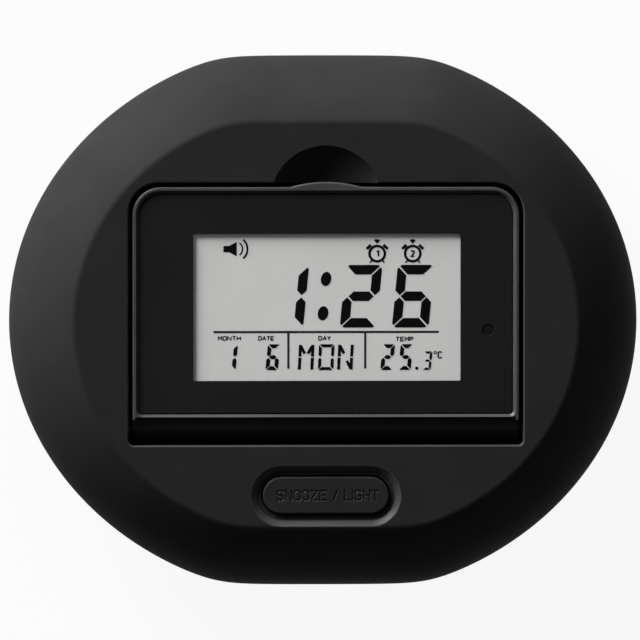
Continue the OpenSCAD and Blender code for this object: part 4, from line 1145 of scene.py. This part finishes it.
def battery_cells():
    """Three cells head to tail, each a printed sleeve over a steel can."""
    cell_r = (CELLS_HIGH.z - CELLS_LOW.z) / 2
    centre = middle("battery_cells")
    nub_end = CELLS_HIGH.x
    begin, shoulder = nub_end - CELL_L, nub_end - CELL_NUB_L
    sleeve = edges(begin + SLEEVE_BACK, shoulder - SLEEVE_FRONT, SLEEVE_EDGE, SLEEVE_SHOULDER)
    can = edges(begin, shoulder, CAN_EDGE, CAN_EDGE)
    nub = edges(shoulder - NUB_EDGE, nub_end, 0, NUB_EDGE)
    sleeves, cans = Form(), Form()
    for i in range(CELL_COUNT):
        place = centre.y + (i - (CELL_COUNT - 1) / 2) * (2 * cell_r + CELL_GAP), centre.z, i % 2
        sleeves.join(laid(cell_r, sleeve, *place))
        cans.join(laid(cell_r - SLEEVE_T, can, *place), laid(CELL_NUB_R, nub, *place))
    dress(soften(sleeves.make("battery_cell_sleeves", SLEEVE)), "base", "cell", "battery_cells")
    dress(soften(cans.make("battery_cell_cans", STEEL)), "base", "steel")


def screws(name, node, body, places, head_r, head_h, shank_r):
    """Cross-recessed screws that are driven from below."""
    low, high = cad(node)
    form = Form()
    for x, y in places:
        profile = [(head_r - shank_r, z) for z in (high.z, low.z + head_h)][::-1]
        head = edges(low.z, low.z + head_h, HEAD_ROUND * head_h, 0)
        form.join(round_form(head_r, x, y, head + profile, SCREW_SIDES))
    piece = form.make(name, STEEL)
    arm, half, depth = CROSS_ARM * head_r, CROSS_HALF * head_r, CROSS_DEPTH * head_h
    for wide, deep in ((arm, half), (half, arm)):
        cross = [box(x - wide, x + wide, y - deep, y + deep, low.z - BEYOND, low.z + depth)
                 for x, y in places]
        carve(piece, Form().join(*cross))
    dress(soften(piece), body, "steel", node)


rubber_feet()
battery_door()
battery_cells()
screws("housing_screw_set", "housing_screws", "base", SCREW_PLACES, head_r=2.5, head_h=1.8, shank_r=1.2)
screws("display_screw_set", "display_screws", "display", POST_PLACES, head_r=1.4, head_h=0.5, shank_r=0.7)


# Finishes of the CAD nodes that stay as they are

NODE_FINISH = {
    "main_board": BOARD, "lcd_board": BOARD, "board_screws": STEEL, "clamp_screws": STEEL, "clock_chip": CHIP,
    "tact_switches": SWITCH, "mode_switch_body": SWITCH, "battery_contacts": STEEL, "motor_can": STEEL,
    "motor_end_cap": END_CAP, "motor_clamp": STEEL, "buzzer_cup": CHIP, "buzzer_disc": BRASS,
    "display_back": FRAME, "lcd_backlight": BACKLIGHT, "zebra_strips": ZEBRA, "light_sensor": LENS,
    "hinge_pins": BURNISHED, "motor_shaft": STEEL, "motor_armature": COPPER, "eccentric_weight": WEIGHT,
}
for node, finish in NODE_FINISH.items():
    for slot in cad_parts[node].material_slots:
        slot.material = finish


# Stage, light and camera

FLOOR_HALF, FLOOR_SHADE, FLOOR_GLOW = 3000.0, 0.5, 0.92
WORLD_LEVEL = 0.09
# Azimuth, elevation, distance, side and watts of each lamp
LAMPS = {"key_upper_left": (127, 12.5, 1200, 760, 69), "fill_upper_right": (40, 55, 600, 250, 0.4)}
CAMERA_AWAY, CAMERA_TARGET = 2000.0, Vector((-0.535, 0, 15))
LEAN_LEFT, LEAN_UP = math.radians(1.75), math.radians(2.55)
FILM_W, FRAME_SPAN = 36, 114.14
CLIP = (0.05, 50)
WHITE = (1, 1, 1, 1)


def reckon(tree, operation, first, second):
    """Output of a math node over two sockets, or a socket and a number."""
    node = tree.nodes.new("ShaderNodeMath")
    node.operation = operation
    for socket, value in zip(node.inputs, (first, second)):
        if isinstance(value, float):
            socket.default_value = value
        else:
            tree.links.new(value, socket)
    return node.outputs[0]


def floor():
    """Large pale floor. Camera, glossy and transmission rays see it white, with the object's shadow kept."""
    mat = bpy.data.materials.new("floor_white")
    mat.use_nodes = True
    tree = mat.node_tree
    nodes, links = tree.nodes, tree.links
    nodes.remove(nodes["Principled BSDF"])
    matt = nodes.new("ShaderNodeBsdfDiffuse")
    matt.inputs["Color"].default_value = (FLOOR_SHADE, FLOOR_SHADE, FLOOR_SHADE, 1)
    glow = nodes.new("ShaderNodeEmission")
    glow.inputs["Color"].default_value = WHITE
    glow.inputs["Strength"].default_value = 1.0
    rays = nodes.new("ShaderNodeLightPath").outputs
    seen = reckon(tree, "MAXIMUM", rays["Is Camera Ray"], rays["Is Glossy Ray"])
    seen = reckon(tree, "MAXIMUM", seen, rays["Is Transmission Ray"])
    mix = nodes.new("ShaderNodeMixShader")
    links.new(reckon(tree, "MULTIPLY", seen, FLOOR_GLOW), mix.inputs["Fac"])
    links.new(matt.outputs[0], mix.inputs[1])
    links.new(glow.outputs[0], mix.inputs[2])
    links.new(mix.outputs[0], nodes["Material Output"].inputs["Surface"])
    half = FLOOR_HALF
    sheet = Form()
    sheet.verts = [(-half, -half, 0), (half, -half, 0), (half, half, 0), (-half, half, 0)]
    sheet.faces = [(0, 1, 2, 3)]
    sheet.make("studio_floor", mat)


def soft_light(name, azimuth, elevation, away, side, watts):
    """Square area lamp that faces the middle of the face, at a distance and at angles in degrees."""
    lamp = bpy.data.lights.new(name, "AREA")
    lamp.shape = "RECTANGLE"
    lamp.size = lamp.size_y = side * MM
    lamp.energy = watts
    a, e = math.radians(azimuth), math.radians(elevation)
    aim = Vector((0, 0, Z_FACE))
    place = Vector((away * math.cos(e) * math.cos(a), away * math.cos(e) * math.sin(a),
                    Z_FACE + away * math.sin(e)))
    obj = bpy.data.objects.new(name, lamp)
    obj.location = place * MM
    obj.rotation_euler = (place - aim).to_track_quat("Z", "Y").to_euler()
    bpy.context.scene.collection.objects.link(obj)


def studio():
    world = bpy.data.worlds.new("studio")
    world.use_nodes = True
    sky = world.node_tree.nodes["Background"]
    sky.inputs["Color"].default_value = WHITE
    sky.inputs["Strength"].default_value = WORLD_LEVEL
    bpy.context.scene.world = world
    for name, lamp in LAMPS.items():
        soft_light(name, *lamp)


def camera():
    """Long lens almost straight above the face, as in the photograph."""
    lens = bpy.data.cameras.new("camera")
    lens.sensor_width = FILM_W
    lens.lens = FILM_W * CAMERA_AWAY / FRAME_SPAN
    lens.clip_start, lens.clip_end = CLIP
    obj = bpy.data.objects.new("camera", lens)
    away = Vector((-math.tan(LEAN_LEFT), math.tan(LEAN_UP), 1)).normalized()
    side = Vector((0, 1, 0)).cross(away).normalized()
    turn = Matrix((side, away.cross(side), away)).transposed().to_4x4()
    obj.matrix_world = Matrix.Translation((CAMERA_TARGET + CAMERA_AWAY * away) * MM) @ turn
    bpy.context.scene.collection.objects.link(obj)
    bpy.context.scene.camera = obj


floor()
studio()
camera()
bpy.context.scene.view_settings.view_transform = "Standard"
